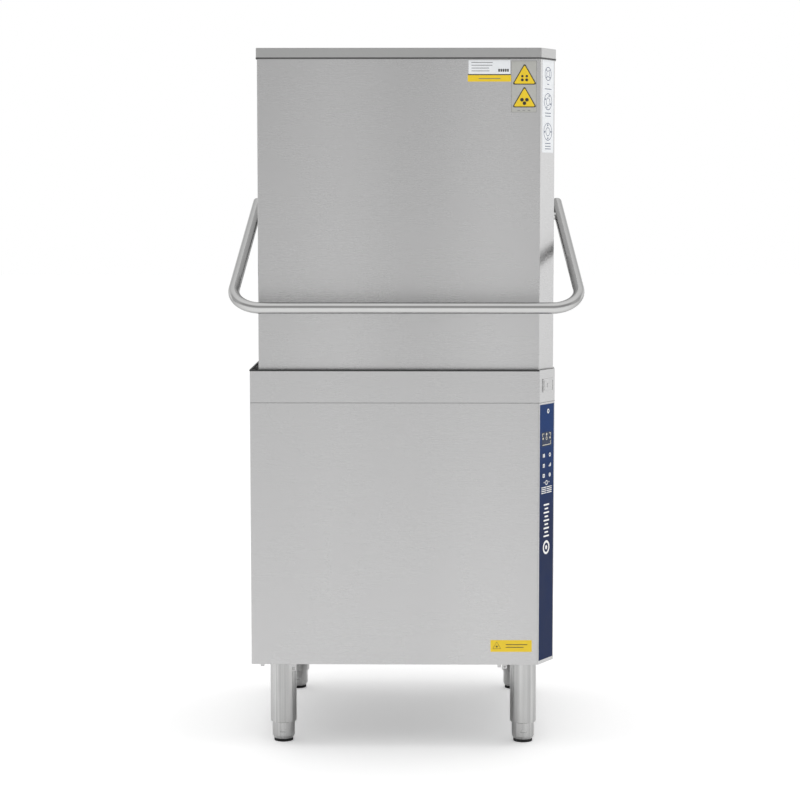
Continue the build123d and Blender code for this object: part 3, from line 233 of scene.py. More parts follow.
def brushed_sheet(name, colour, roughness=0.27, seed=0.0, smear=1.0, banding=0.01):
    """Stainless sheet with a level brushed grain, wide upright bands of tone and wiped smears."""
    shader = Shader(name)
    fine = shader.noise(grain_space(shader, 3.0, 900.0, seed), 1.0, 3.0, 0.6)
    medium = shader.noise(grain_space(shader, 1.2, 220.0, seed + 3.0), 1.0, 2.0, 0.5)
    wide = shader.noise(grain_space(shader, 3.2, 0.5, seed + 7.0), 1.0, 2.0, 0.4)
    cloud = shader.noise(shader.place, 4.5, 4.0, 0.6, 0.8)
    edge_highlight, rounded = edge_highlight_mask(shader, 0.9 * MM)
    tone = shader.remap(fine, 0.25, 0.75, 0.997, 1.003)
    tone = shader.math("MULTIPLY", tone, shader.remap(medium, 0.25, 0.75, 0.997, 1.003))
    tone = shader.math("MULTIPLY", tone, shader.remap(wide, 0.3, 0.7, 0.982, 1.018))
    angle = shader.math("MULTIPLY", shader.split(shader.place)[0], BAND_RATE)
    phase = shader.math("ADD", angle, BAND_PHASE)
    band = shader.remap(shader.math("SINE", phase), -1.0, 1.0, 1.0 - banding, 1.0 + banding)
    tone = shader.math("MULTIPLY", tone, band)
    smears = shader.remap(cloud, 0.3, 0.7, 1.0 - 0.006 * smear, 1.0 + 0.006 * smear)
    tone = shader.math("MULTIPLY", tone, smears)
    # Painted highlight: the colour is made paler near sharp edges.
    tone = shader.math("ADD", tone, shader.math("MULTIPLY", edge_highlight, 0.06))
    shader.set("Base Color", shader.scale_colour(colour, tone))
    shader.set("Metallic", 1.0)
    rough = shader.remap(fine, 0.2, 0.8, roughness - 0.006, roughness + 0.006)
    rough = shader.math("ADD", rough, shader.remap(cloud, 0.35, 0.75, 0.0, 0.012 * smear))
    shader.set("Roughness", rough)
    shader.set("Anisotropic", 0.7)
    shader.set("Tangent", shader.join(0.0, 0.02, 1.0))
    ripple = shader.noise(grain_space(shader, 2.4, 0.8, seed + 11.0), 1.0, 1.0, 0.3)
    waves = shader.bump(ripple, 1.0 * MM, 0.25, rounded)
    shader.set("Normal", shader.bump(fine, 0.002 * MM, 0.04, waves))
    return shader.material


def satin_tube(name, colour, roughness, grain=0.3):
    """Polished round tube with painted shade at its rims and painted highlights on sharp edges, fine rings
    of grain and light handling marks.
    """
    shader = Shader(name)
    x, y, z = shader.split(shader.place)[:3]
    squeezed_x = shader.math("MULTIPLY", x, 40.0)
    squeezed_z = shader.math("MULTIPLY", z, 700.0)
    rings = shader.noise(shader.join(squeezed_x, y, squeezed_z), 1.0, 3.0, 0.6)
    cloud = shader.noise(shader.place, 9.0, 3.0, 0.5, 0.3)
    speck = shader.noise(shader.place, 420.0, 2.0, 0.5)
    edge_highlight, rounded = edge_highlight_mask(shader, 0.8 * MM)
    tone = shader.remap(rings, 0.3, 0.7, 0.98, 1.02)
    tone = shader.math("MULTIPLY", tone, shader.remap(cloud, 0.3, 0.7, 0.98, 1.02))
    # Painted shade: the colour darkens where the tube turns away from the eye.
    facing = shader.node("ShaderNodeLayerWeight", None, {"Blend": 0.5}).outputs["Facing"]
    tone = shader.math("MULTIPLY", tone, shader.remap(facing, 0.15, 0.95, 1.0, RIM_PAINTED_SHADE))
    # Painted highlight: the colour is made paler near sharp edges.
    tone = shader.math("ADD", tone, shader.math("MULTIPLY", edge_highlight, 0.08))
    shader.set("Base Color", shader.scale_colour(colour, tone))
    shader.set("Metallic", 1.0)
    rough = shader.remap(cloud, 0.3, 0.75, roughness - 0.02, roughness + 0.03)
    shader.set("Roughness", shader.math("ADD", rough, shader.remap(speck, 0.6, 0.8, 0.0, 0.06)))
    shader.set("Normal", shader.bump(rings, 0.008 * MM, grain, rounded))
    return shader.material


def drawn_tube(name, colour, roughness):
    """Drawn round tube with streaks along its upright length and a dull oxide haze."""
    shader = Shader(name)
    x, y, z = shader.split(shader.place)[:3]
    round_x = shader.math("MULTIPLY", x, 150.0)
    round_y = shader.math("MULTIPLY", y, 150.0)
    streaks = shader.noise(
        shader.join(round_x, round_y, shader.math("MULTIPLY", z, 1.6)), 1.0, 3.0, 0.6
    )
    cloud = shader.noise(shader.place, 16.0, 3.0, 0.5, 0.3)
    edge_highlight, rounded = edge_highlight_mask(shader, 0.7 * MM)
    tone = shader.remap(streaks, 0.3, 0.7, 0.82, 1.20)
    tone = shader.math("MULTIPLY", tone, shader.remap(cloud, 0.3, 0.7, 0.97, 1.03))
    # Painted highlight: the colour is made paler near sharp edges.
    tone = shader.math("ADD", tone, shader.math("MULTIPLY", edge_highlight, 0.1))
    shader.set("Base Color", shader.scale_colour(colour, tone))
    shader.set("Metallic", 1.0)
    shader.set("Roughness", shader.remap(streaks, 0.3, 0.7, roughness - 0.03, roughness + 0.04))
    shader.set("Normal", shader.bump(streaks, 0.03 * MM, 0.4, rounded))
    return shader.material


def plain_metal(name, colour, roughness, spangle=0.0, pitting=0.02):
    """Cast, pressed or galvanised metal with patches of tone and fine pits."""
    shader = Shader(name)
    cloud = shader.noise(shader.place, 14.0, 5.0, 0.6, 0.5)
    grit = shader.noise(shader.place, 650.0, 3.0, 0.6)
    cells = shader.node("ShaderNodeTexVoronoi", None, {"Vector": shader.place, "Scale": 140.0})
    edge_highlight, rounded = edge_highlight_mask(shader, 0.8 * MM)
    tone = shader.remap(cloud, 0.3, 0.7, 0.94, 1.05)
    patch = shader.remap(shader.split(cells.outputs["Color"])[0], 0.0, 1.0, 1 - spangle, 1 + spangle)
    tone = shader.math("MULTIPLY", tone, patch)
    # Painted highlight: the colour is made paler near sharp edges.
    tone = shader.math("ADD", tone, shader.math("MULTIPLY", edge_highlight, 0.12))
    shader.set("Base Color", shader.scale_colour(colour, tone))
    shader.set("Metallic", 1.0)
    shader.set("Roughness", shader.remap(cloud, 0.3, 0.7, roughness - 0.05, roughness + 0.08))
    shader.set("Normal", shader.bump(grit, pitting * MM, 0.5, rounded))
    return shader.material


def moulded(name, colour, roughness, texture_depth=0.03, coat=0.0, edge_highlight_tone=0.25, shine=0.45,
            upper_colour=None):
    """Moulded plastic or rubber with a fine skin texture and paler edges, a painted highlight.

    An upper colour fades in above the middle of the control strip."""
    shader = Shader(name)
    if upper_colour:
        height = shader.split(shader.place)[2]
        colour = shader.mix(shader.remap(height, *STRIP_FADE, 0.0, 1.0), colour, upper_colour)
    cloud = shader.noise(shader.place, 22.0, 4.0, 0.55, 0.4)
    skin = shader.noise(shader.place, 900.0, 2.0, 0.55)
    dust = shader.noise(shader.place, 60.0, 5.0, 0.7)
    edge_highlight, rounded = edge_highlight_mask(shader, 0.5 * MM)
    tone = shader.remap(cloud, 0.3, 0.7, 0.92, 1.08)
    # Painted highlight: the colour is made paler near sharp edges.
    tone = shader.math("ADD", tone, shader.math("MULTIPLY", edge_highlight, edge_highlight_tone))
    tone = shader.math("ADD", tone, shader.remap(dust, 0.55, 0.8, 0.0, 0.06))
    shader.set("Base Color", shader.scale_colour(colour, tone))
    shader.set("Roughness", shader.remap(cloud, 0.3, 0.7, roughness - 0.04, roughness + 0.06))
    shader.set("Specular IOR Level", shine)
    shader.set("Coat Weight", coat)
    shader.set("Coat Roughness", 0.12)
    shader.set("Normal", shader.bump(skin, texture_depth * MM, 0.6, rounded))
    return shader.material


def printed(name, colour, roughness=0.4, painted_glow=0.0):
    """Printed film: slightly uneven ink under a thin clear layer, with an optional painted glow that makes
    the ink brighter than the lamps light it.
    """
    shader = Shader(name)
    cloud = shader.noise(shader.place, 55.0, 4.0, 0.6)
    fibre = shader.noise(shader.place, 1200.0, 2.0, 0.5)
    tone = shader.remap(cloud, 0.3, 0.7, 0.965, 1.03)
    tone = shader.math("MULTIPLY", tone, shader.remap(fibre, 0.3, 0.7, 0.985, 1.015))
    ink = shader.scale_colour(colour, tone)
    shader.set("Base Color", ink)
    shader.set("Roughness", shader.remap(cloud, 0.3, 0.7, roughness - 0.05, roughness + 0.05))
    shader.set("Coat Weight", 0.15)
    shader.set("Coat Roughness", 0.2)
    shader.set("Normal", shader.bump(fibre, 0.01 * MM, 0.5))
    # Painted glow: emission in the ink's own colour, though the ink is no lamp.
    if painted_glow:
        shader.set("Emission Color", ink)
        shader.set("Emission Strength", painted_glow)
    return shader.material


HOOD_STEEL = brushed_sheet("hood_sheet", SHEET_STEEL, 0.27, 1.0, 1.0, 0.035)
CABINET_STEEL = brushed_sheet("cabinet_sheet", SHEET_STEEL, 0.27, 21.0)
CAP_STEEL = brushed_sheet("cap_sheet", CAP_TONE, 0.30, 41.0)
INNER_STEEL = brushed_sheet("inner_sheet", TANK_STEEL, 0.33, 61.0, 2.5)
HANDLE_STEEL = satin_tube("handle_tube", TUBE_STEEL, 0.10)
LEG_STEEL = drawn_tube("leg_tube", LEG_TONE, 0.15)
PIPE_STEEL = satin_tube("pipe_steel", TANK_STEEL, 0.3, 0.4)
BRIGHT = plain_metal("bright_steel", BRIGHT_STEEL, 0.2)
ZINC = plain_metal("galvanised_sheet", GALVANISED, 0.42, 0.10)
PRESSED = plain_metal("pressed_steel", TANK_STEEL, 0.36, 0.02)
CASTING = plain_metal("cast_housing", (0.42, 0.42, 0.42), 0.45, 0.03, 0.08)
MOTOR_PAINT = moulded("motor_enamel", MOTOR_GREY, 0.38, 0.05, 0.2, 0.5)
BLACK = moulded("black_plastic", BLACK_PLASTIC, 0.45)
RUBBER = moulded("rubber", RUBBER_BLACK, 0.72, 0.06)
# Painted shade: the next two dark materials fill the gaps under the cap, under the collar and on the
# collar's rim, where there is only shade.
JOINT_SHADE = moulded("painted_shade_joint", (0.10, 0.10, 0.10), 0.6, 0.02, 0.0, 0.1)
RIM_SHADE = moulded("rim_painted_shade", (0.045, 0.045, 0.045), 0.6, 0.02, 0.0, 0.1)
ROLLER = moulded("roller_plastic", ROLLER_PLASTIC, 0.42)
FASCIA = moulded("fascia_film", FASCIA_BLUE, 0.5, 0.012, 0.0, 0.35, 0.10, FASCIA_UPPER_BLUE)
DISPLAY = moulded("display_glass", DISPLAY_DARK, 0.25, 0.002, 0.1, 0.1, 0.2)
KEY_TOP = moulded("key_film", KEY_BLUE, 0.45, 0.012, 0.0, 0.5, 0.14)

NODE_MATERIALS = {
    HOOD_STEEL: ["hood_shell"],
    CAP_STEEL: ["hood_cap", "rear_cover"],
    CABINET_STEEL: [
        "front_panel", "left_panel", "right_panel", "back_panel", "corner_post",
        "deck_collar", "collar_cap", "base_frame", "panel_latches",
    ],
    INNER_STEEL: ["hood_liner", "wash_tank", "rack_guide", "tank_filters"],
    HANDLE_STEEL: ["hood_handle", "handle_brackets"],
    LEG_STEEL: ["leg_tubes", "adjustable_feet"],
    PIPE_STEEL: [
        "wash_manifold", "rinse_pipe", "overflow_pipe",
        "lower_wash_arm", "lower_rinse_arm", "upper_wash_arm", "upper_rinse_arm",
    ],
    BRIGHT: [
        "handle_bolts", "panel_screws", "roller_pins", "tank_heater",
        "wash_pump_rotor", "balance_springs",
    ],
    ZINC: ["guide_columns", "column_crossbar", "hood_carriage", "electrical_box"],
    PRESSED: ["boiler"],
    CASTING: ["wash_pump_housing"],
    MOTOR_PAINT: ["wash_pump_motor"],
    BLACK: [
        "rinse_pump", "drain_pump", "dosing_pumps", "inlet_valve", "cable_gland", "hood_switch",
    ],
    RUBBER: ["foot_pads", "water_hoses", "hood_buffers"],
    ROLLER: ["upper_rollers", "lower_rollers"],
    FASCIA: ["control_fascia", "power_button"],
    DISPLAY: ["display_window"],
    KEY_TOP: [
        "upper_front_key", "middle_front_key", "lower_front_key",
        "upper_rear_key", "middle_rear_key", "lower_rear_key",
    ],
}


def dress_cad_nodes():
    """Give every CAD node its material."""
    for material, names in NODE_MATERIALS.items():
        for name in names:
            mesh = frame["nodes"][name].data
            mesh.materials.clear()
            mesh.materials.append(material)


# ================= flat shapes =================
def circle(radius, steps=40, centre=(0.0, 0.0)):
    """Points of a circle."""
    turn = 2 * math.pi / steps
    return [
        (centre[0] + radius * math.cos(i * turn), centre[1] + radius * math.sin(i * turn))
        for i in range(steps)
    ]


def rounded(corners, radius, steps=5):
    """Points of a convex outline with its corners rounded, from anticlockwise corners."""
    points = []
    count = len(corners)
    for i in range(count):
        here = Vector(corners[i])
        before = (Vector(corners[i - 1]) - here).normalized()
        after = (Vector(corners[(i + 1) % count]) - here).normalized()
        half = before.angle(after) / 2
        middle = here + (before + after).normalized() * (radius / math.sin(half))
        start = here + before * (radius / math.tan(half)) - middle
        sweep = math.pi - 2 * half
        for step in range(steps + 1):
            angle = sweep * step / steps
            turned = Vector((
                start.x * math.cos(angle) - start.y * math.sin(angle),
                start.x * math.sin(angle) + start.y * math.cos(angle),
            ))
            points.append(tuple(middle + turned))
    return points


def box_shape(width, height, radius, centre=(0.0, 0.0)):
    """Points of a rounded rectangle."""
    x, z = centre
    w, h = width / 2, height / 2
    corners = [(x - w, z - h), (x + w, z - h), (x + w, z + h), (x - w, z + h)]
    return rounded(corners, radius)


def triangle_shape(side, radius, centre=(0.0, 0.0)):
    """Points of an upright triangle with rounded corners, centred on its middle."""
    x, z = centre
    rise = side * math.sqrt(3) / 2
    corners = [(x - side / 2, z - rise / 3), (x + side / 2, z - rise / 3), (x, z + 2 * rise / 3)]
    return rounded(corners, radius)


class Wall:
    """A flat face of a CAD node: places are given across it and up it, from its middle."""

    def __init__(self, node, normal):
        self.normal = Vector(normal).normalized()
        self.across = UP.cross(self.normal)
        points = [vertex.co for vertex in frame["nodes"][node].data.vertices]
        self.reach = max(point.dot(self.normal) for point in points)
        on_face = [p for p in points if self.reach - p.dot(self.normal) < FACE_TOLERANCE]
        places = [p.dot(self.across) for p in on_face]
        heights = [p.z for p in on_face]
        self.middle = (min(places) + max(places)) / 2
        self.width = max(places) - min(places)
        self.low = min(heights)
        self.high = max(heights)

    def at(self, across, height, out=0.0):
        """Point on the face; height is measured from the floor."""
        base = self.across * (self.middle + across) + self.normal * (self.reach + out)
        return Vector((base.x, base.y, height))


def add_prism(mesh, wall, place, outer, inner, lift, thickness):
    """Add a thin flat prism, with a hole if an inner outline is given."""
    across, height = place

    def ring(points, out):
        return [mesh.verts.new(wall.at(across + u, height + v, out)) for u, v in points]

    low = ring(outer, lift)
    high = ring(outer, lift + thickness)
    count = len(outer)
    for i in range(count):
        j = (i + 1) % count
        mesh.faces.new((low[i], low[j], high[j], high[i]))
    if inner is None:
        mesh.faces.new(high)
        mesh.faces.new(list(reversed(low)))
        return
    inner_low = ring(inner, lift)
    inner_high = ring(inner, lift + thickness)
    for i in range(count):
        j = (i + 1) % count
        mesh.faces.new((high[i], high[j], inner_high[j], inner_high[i]))
        mesh.faces.new((low[j], low[i], inner_low[i], inner_low[j]))
        mesh.faces.new((inner_low[j], inner_low[i], inner_high[i], inner_high[j]))


def add_piece(name, mesh, material, body, smooth=False):
    """Turn a finished mesh into an object of one material that rides on a body."""
    data = bpy.data.meshes.new(name)
    mesh.to_mesh(data)
    mesh.free()
    for polygon in data.polygons:
        polygon.use_smooth = smooth
    piece = bpy.data.objects.new(name, data)
    bpy.context.scene.collection.objects.link(piece)
    data.materials.append(material)
    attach(piece, body)
    return piece


def patch(name, wall, shapes, material, body, lift=0.0, thickness=0.25 * MM):
    """One thin printed or stuck-on piece made of flat shapes, riding on a body.

    Each shape is (place across and up, outer outline, inner outline or None)."""
    mesh = bmesh.new()
    for place, outer, inner in shapes:
        add_prism(mesh, wall, place, outer, inner, lift, thickness)
    bmesh.ops.recalc_face_normals(mesh, faces=mesh.faces)
    add_piece(name, mesh, material, body)


# ================= inks =================
# The last number of the white and cream inks and of the white and yellow films is a painted glow.
INK_WHITE = printed("ink_white", WHITE_INK, 0.4, 0.35)
INK_CREAM = printed("ink_cream", CREAM_INK, 0.35, 0.14)
FILM_WHITE = printed("film_white", LABEL_WHITE, 0.42, 0.24)
FILM_YELLOW = printed("film_yellow", LABEL_YELLOW, 0.42, 0.16)
FILM_SILVER = printed("film_silver", LABEL_SILVER, 0.34)
INK_DARK = printed("ink_dark", LABEL_DARK, 0.5)
INK_GREY = printed("ink_grey", LABEL_GREY, 0.5)
INK_BLUE = printed("ink_blue", LABEL_BLUE, 0.5)

FILM = 0.25 * MM
INK = 0.08 * MM


def triangle_mark(side, dots):
    """Generic mark: a rounded triangle's outline around a few dots."""
    outline = triangle_shape(side, side * 0.05)
    hole = triangle_shape(side * 0.87, side * 0.035)
    return [((0, 0), outline, hole)] + [
        ((u * side, v * side), circle(radius * side, 18), None) for u, v, radius in dots
    ]


def moved(shapes, across, height):
    """Shapes moved over the wall."""
    return [((u + across, v + height), outer, inner) for (u, v), outer, inner in shapes]


def bar(across, height, width, thickness):
    """Short printed bar with rounded ends."""
    return ((across, height), box_shape(width, thickness, thickness * 0.45), None)


def hood_labels():
    """Stickers on the hood's front: a white and yellow label and a silver plate."""
    wall = Wall("hood_shell", FRONT)
    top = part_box("hood_cap")[0].z
    right = wall.width / 2
    paper_w, paper_h = 0.091, 0.0300
    band_w, band_h = 0.0945, 0.0140
    line_h = 0.0022
    label_x = right - 0.1112
    label_top = top - 0.004
    paper_z = label_top - paper_h / 2
    line_z = label_top - paper_h - line_h / 2
    band_z = label_top - paper_h - line_h - band_h / 2
    paper = [((label_x, paper_z), box_shape(paper_w, paper_h, 1.0 * MM), None)]
    band = [((label_x, band_z), box_shape(band_w, band_h, 1.0 * MM), None)]
    line = [((label_x, line_z), box_shape(band_w - 0.001, line_h, 0.6 * MM), None)]
    patch("hood_label_paper", wall, paper, FILM_WHITE, "hood", 0, FILM)
    patch("hood_label_band", wall, band, FILM_YELLOW, "hood", 0, FILM)
    patch("hood_label_line", wall, line, INK_DARK, "hood", 0, FILM)
    text_left = label_x - paper_w / 2 + 0.006
    rules = [
        bar(text_left + length / 2, label_top - 0.0048 - row * 0.0061, length, 1.3 * MM)
        for row, length in enumerate((0.0466, 0.0460, 0.0390, 0.0400))
    ]
    patch("hood_label_rules", wall, rules, INK_GREY, "hood", FILM, INK)
    block = box_shape(3.5 * MM, 6.2 * MM, 0.6 * MM)
    block_x, block_z, block_pitch = label_x + 0.0307, label_top - 0.0218, 0.0048
    blocks = [((block_x + k * block_pitch, block_z), block, None) for k in (-2, -1, 0, 1, 2)]
    patch("hood_label_blocks", wall, blocks, INK_DARK, "hood", FILM, INK)
    band_rule = [bar(label_x + 0.0005, band_z - 0.0005, 0.048, 1.5 * MM)]
    patch("hood_label_band_rule", wall, band_rule, INK_GREY, "hood", FILM, INK)

    plate_w, plate_h = 0.0558, 0.112
    plate_x = right - 0.0358
    plate_z = top - 0.005 - plate_h / 2
    plate = [((plate_x, plate_z), box_shape(plate_w, plate_h, 1.5 * MM), None)]
    patch("hood_plate", wall, plate, FILM_SILVER, "hood", 0, FILM)
    border_outer = box_shape(plate_w - 1.0 * MM, plate_h - 1.0 * MM, 1.2 * MM)
    border_inner = box_shape(plate_w - 2.0 * MM, plate_h - 2.0 * MM, 0.8 * MM)
    border = [((plate_x, plate_z), border_outer, border_inner)]
    for k in (-1, 0, 1):
        border.append(bar(plate_x + k * 0.011, plate_z - plate_h / 2 + 0.0045, 6.0 * MM, 1.1 * MM))
    patch("hood_plate_border", wall, border, INK_GREY, "hood", FILM, INK)
    side = 0.0535
    upper_dots = ((-0.09, 0.05, 0.050), (0.09, 0.05, 0.050), (-0.09, -0.10, 0.060), (0.09, -0.10, 0.060))
    lower_dots = ((-0.10, 0.02, 0.075), (0.10, 0.02, 0.075), (0.0, -0.12, 0.075))
    marks, fields = [], []
    for offset, dots in ((0.0198, upper_dots), (-0.0296, lower_dots)):
        place = (plate_x + 0.0012, plate_z + offset)
        fields.append((place, triangle_shape(side * 0.95, side * 0.045), None))
        marks += moved(triangle_mark(side, dots), *place)
    patch("hood_plate_fields", wall, fields, FILM_YELLOW, "hood", FILM, INK)
    patch("hood_plate_marks", wall, marks, INK_DARK, "hood", FILM + INK, INK)


def corner_label():
    """White label with three ring marks on the hood's cut-off corner."""
    wall = Wall("hood_shell", CORNER)
    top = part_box("hood_cap")[0].z - 0.002
    width, height = 0.052, 0.2015
    paper = [((0.001, top - height / 2), box_shape(width, height, 1.5 * MM), None)]
    patch("corner_label_paper", wall, paper, FILM_WHITE, "hood", 0, FILM)
    # depth of each ring's middle below the label's top, its radius and the lines under it
    groups = (
        (0.0300, 0.0150, ((0.0225, 0.010), (0.0330, 0.032))),
        (0.0905, 0.0182, ((0.0250, 0.028), (0.0315, 0.026))),
        (0.1560, 0.0193, ((0.0255, 0.026), (0.0318, 0.026), (0.0375, 0.028))),
    )
    rings, lines = [], []
    for index, (depth, radius, rows) in enumerate(groups):
        z = top - depth
        rings.append(((0.001, z), circle(radius), circle(radius - 1.4 * MM)))
        inner = radius * 0.5
        rings.append(((0.001, z), circle(inner, 24), circle(inner - 1.3 * MM, 24)))
        for turn in range(4):
            angle = math.pi / 4 + turn * math.pi / 2 + index * 0.4
            place = (0.001 + radius * 0.74 * math.cos(angle), z + radius * 0.74 * math.sin(angle))
            rings.append((place, circle(radius * 0.12, 14), None))
        lines += [bar(0.001, z - drop, length, 1.5 * MM) for drop, length in rows]
    patch("corner_label_rings", wall, rings, INK_BLUE, "hood", FILM, INK)
    patch("corner_label_lines", wall, lines, INK_BLUE, "hood", FILM, INK)


def front_label():
    """Yellow label low on the front panel, with a plain triangle mark and two lines."""
    wall = Wall("front_panel", FRONT)
    width, height = 0.092, 0.0265
    middle_x = wall.width / 2 - 0.058
    middle_z = wall.low + 0.0425
    film = [((middle_x, middle_z), box_shape(width, height, 1.5 * MM), None)]
    patch("front_label_film", wall, film, FILM_YELLOW, "cabinet", 0, FILM)
    marks = moved(triangle_mark(0.019, ((0.0, -0.02, 0.11),)), middle_x - 0.032, middle_z - 0.001)
    for row, length in enumerate((0.048, 0.040)):
        marks.append(bar(middle_x + 0.012 - row * 0.004, middle_z + 0.003 - row * 0.006, length, 1.6 * MM))
    patch("front_label_marks", wall, marks, INK_DARK, "cabinet", FILM, INK)


# ================= control strip graphics =================
def node_middle(name):
    """Middle of a node's box."""
    low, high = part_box(name)
    return (low + high) / 2


def place_on(wall, name):
    """Where a node's middle lies on a wall: across and up."""
    middle = node_middle(name)
    return middle.dot(wall.across) - wall.middle, middle.z


def key_icons(width, height):
    """Six plain icons, one for each programme key, as lists of shapes."""
    line = height * 0.25
    bars = [bar(0, k * height * 0.375, width, line) for k in (-1, 0, 1)]
    outline = box_shape(width, height, line * 0.6)
    hole = box_shape(width - 2 * line, height - 2 * line, line * 0.4)
    square = [((0, 0), outline, hole)]
    ring = [((0, 0), circle(height * 0.56, 28), circle(height * 0.56 - line, 28))]
    dot = [((0, 0), circle(height * 0.17, 16), None)]
    blocks = [
        ((k * width * 0.28, 0), box_shape(width * 0.38, height, line * 0.4), None) for k in (-1, 1)
    ]
    steps = [
        ((k * width * 0.36, (k - 1) * height * 0.15),
         box_shape(width * 0.26, height * (0.7 + 0.3 * k), line * 0.4), None)
        for k in (-1, 0, 1)
    ]
    return {
        "upper_front_key": blocks,
        "middle_front_key": bars,
        "lower_front_key": square + dot,
        "upper_rear_key": ring,
        "middle_rear_key": steps,
        "lower_rear_key": ring + dot,
    }


def display_marks(display):
    """Brackets, a diamond, dots and a line of the display, as shapes."""
    low, high = display.low, display.high
    half = display.width / 2 - 3.5 * MM
    top_z = high - 3.5 * MM
    dot_z = high - 14.0 * MM
    low_z = low + 3.5 * MM
    stroke = 1.5 * MM
    diamond = circle(3.8 * MM, 4, (0.0, 0.0))
    shapes = [((0, top_z - 2.0 * MM), diamond, None)]
    for side in (-1, 1):
        shapes.append(bar(side * (half - 3.5 * MM), top_z, 9.0 * MM, stroke))
        upright = box_shape(stroke * 1.1, 7.0 * MM, 0.7 * MM)
        shapes.append(((side * (half - 0.5 * MM), top_z - 3.0 * MM), upright, None))
        block = box_shape(5.5 * MM, 4.0 * MM, 0.8 * MM)
        shapes.append(((side * (half - 3.0 * MM), dot_z), block, None))
    shapes.append(((0, dot_z), circle(3.8 * MM, 24), circle(2.4 * MM, 24)))
    shapes.append(bar(-1.0 * MM, low_z, 2 * half - 3.0 * MM, 1.5 * MM))
    shapes.append(((half - 0.5 * MM, low_z + 4.0 * MM), box_shape(1.8 * MM, 9.0 * MM, 0.7 * MM), None))
    return shapes


def control_graphics():
    """Ring of the power button, key icons, display marks, status lines and a level scale."""
    for name, shapes in key_icons(9.6 * MM, 8.0 * MM).items():
        wall = Wall(name, CORNER)
        patch("icon_" + name, wall, moved(shapes, 0, node_middle(name).z), INK_WHITE, name, 0, INK)
    button = Wall("power_button", CORNER)
    centre = (0, node_middle("power_button").z)
    ring = [(centre, circle(5.2 * MM), circle(3.0 * MM)), (centre, circle(1.1 * MM, 16), None)]
    patch("power_ring", button, ring, INK_WHITE, "power_button", 0, INK)
    display = Wall("display_window", CORNER)
    patch("display_segments", display, display_marks(display), INK_CREAM, "cabinet", 0, INK)

    strip = Wall("control_fascia", CORNER)
    rear, key_z = place_on(strip, "lower_rear_key")
    front = place_on(strip, "lower_front_key")[0]
    middle = (rear + front) / 2
    symbol_z = key_z - 16.5 * MM
    status = [((middle, symbol_z), circle(5.4 * MM, 28), circle(3.4 * MM, 28))]
    for side in (-1, 1):
        status.append(((middle + side * 11 * MM, symbol_z + 1 * MM), circle(1.6 * MM, 16), None))
        for row in range(4):
            place_z = key_z - (26.4 + row * 4.2) * MM
            status.append(bar(middle + side * 12.6 * MM, place_z, 23.4 * MM, 1.8 * MM))
    patch("status_marks", strip, status, INK_WHITE, "cabinet", 0, INK)
    scale_top = key_z - 66.0 * MM
    scale_rows = 9
    scale_pitch = 8.8 * MM
    scale = []
    for row in range(scale_rows):
        width = (26.0 if row % 2 == 0 else 17.0) * MM
        scale.append(bar(middle, scale_top - row * scale_pitch, width, 3.6 * MM))
    dial = (middle, scale_top - 96.0 * MM)
    scale.append((dial, circle(15.5 * MM), circle(10.5 * MM)))
    scale.append((dial, circle(4.6 * MM, 24), None))
    patch("level_scale", strip, scale, INK_WHITE, "cabinet", 0, INK)


def collar_mark():
    """Raised frame near the edges of the collar's cap."""
    wall = Wall("collar_cap", CORNER)
    middle = (wall.low + wall.high) / 2
    width = wall.width - 5 * MM
    height = wall.high - wall.low - 5 * MM
    outer = box_shape(width, height, 2 * MM)
    inner = box_shape(width - 3 * MM, height - 3 * MM, 1.2 * MM)
    shapes = [((0, middle), outer, inner), ((0, middle), box_shape(11 * MM, 9 * MM, 1 * MM), None)]
    patch("collar_cap_relief", wall, shapes, CABINET_STEEL, "cabinet", -0.1 * MM, 0.7 * MM)


# ================= painted shade strips at joints between sheets ===
def footprint(front_node, side_node, inward):
    """Outline of the cut-cornered plan of the hood or the cabinet, moved inward, from its walls.

    The sides are measured on the nodes, so the outline follows the CAD model."""
    front = Wall(front_node, FRONT)
    low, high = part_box(side_node)
    cut = Wall(front_node, CORNER) if front_node == side_node else Wall("corner_post", CORNER)
    front_y = -front.reach + inward
    left = low.x + inward
    right = high.x - inward
    slope = cut.normal
    reach = cut.reach - inward

    def on_cut(x=None, y=None):
        if y is None:
            return Vector((x, (reach - slope.x * x) / slope.y))
        return Vector(((reach - slope.y * y) / slope.x, y))

    return [
        Vector((left, front_y)), on_cut(y=front_y), on_cut(x=right),
        Vector((right, high.y - inward)), Vector((left, high.y - inward)),
    ]


BELT_CORNER_STEPS = 3


def belt(name, outer, inner, z_range, material, body, stretch=None):
    """Band between two plan outlines over a height range, or over one stretch of its points."""
    low, high = z_range
    mesh = bmesh.new()
    outer = rounded(outer, 2.0 * MM, BELT_CORNER_STEPS)
    inner = rounded(inner, 2.0 * MM, BELT_CORNER_STEPS)
    if stretch:
        outer = [outer[i] for i in stretch]
        inner = [inner[i] for i in stretch]
    rings = [
        [mesh.verts.new((x, y, z)) for x, y in line]
        for line, z in ((outer, low), (outer, high), (inner, high), (inner, low))
    ]
    count = len(outer)
    for index in range(4):
        first, second = rings[index], rings[(index + 1) % 4]
        for i in range(count - 1 if stretch else count):
            j = (i + 1) % count
            mesh.faces.new((first[i], first[j], second[j], second[i]))
    if stretch:
        for end in (0, -1):
            mesh.faces.new([ring[end] for ring in rings])
    bmesh.ops.recalc_face_normals(mesh, faces=mesh.faces)
    add_piece(name, mesh, material, body)


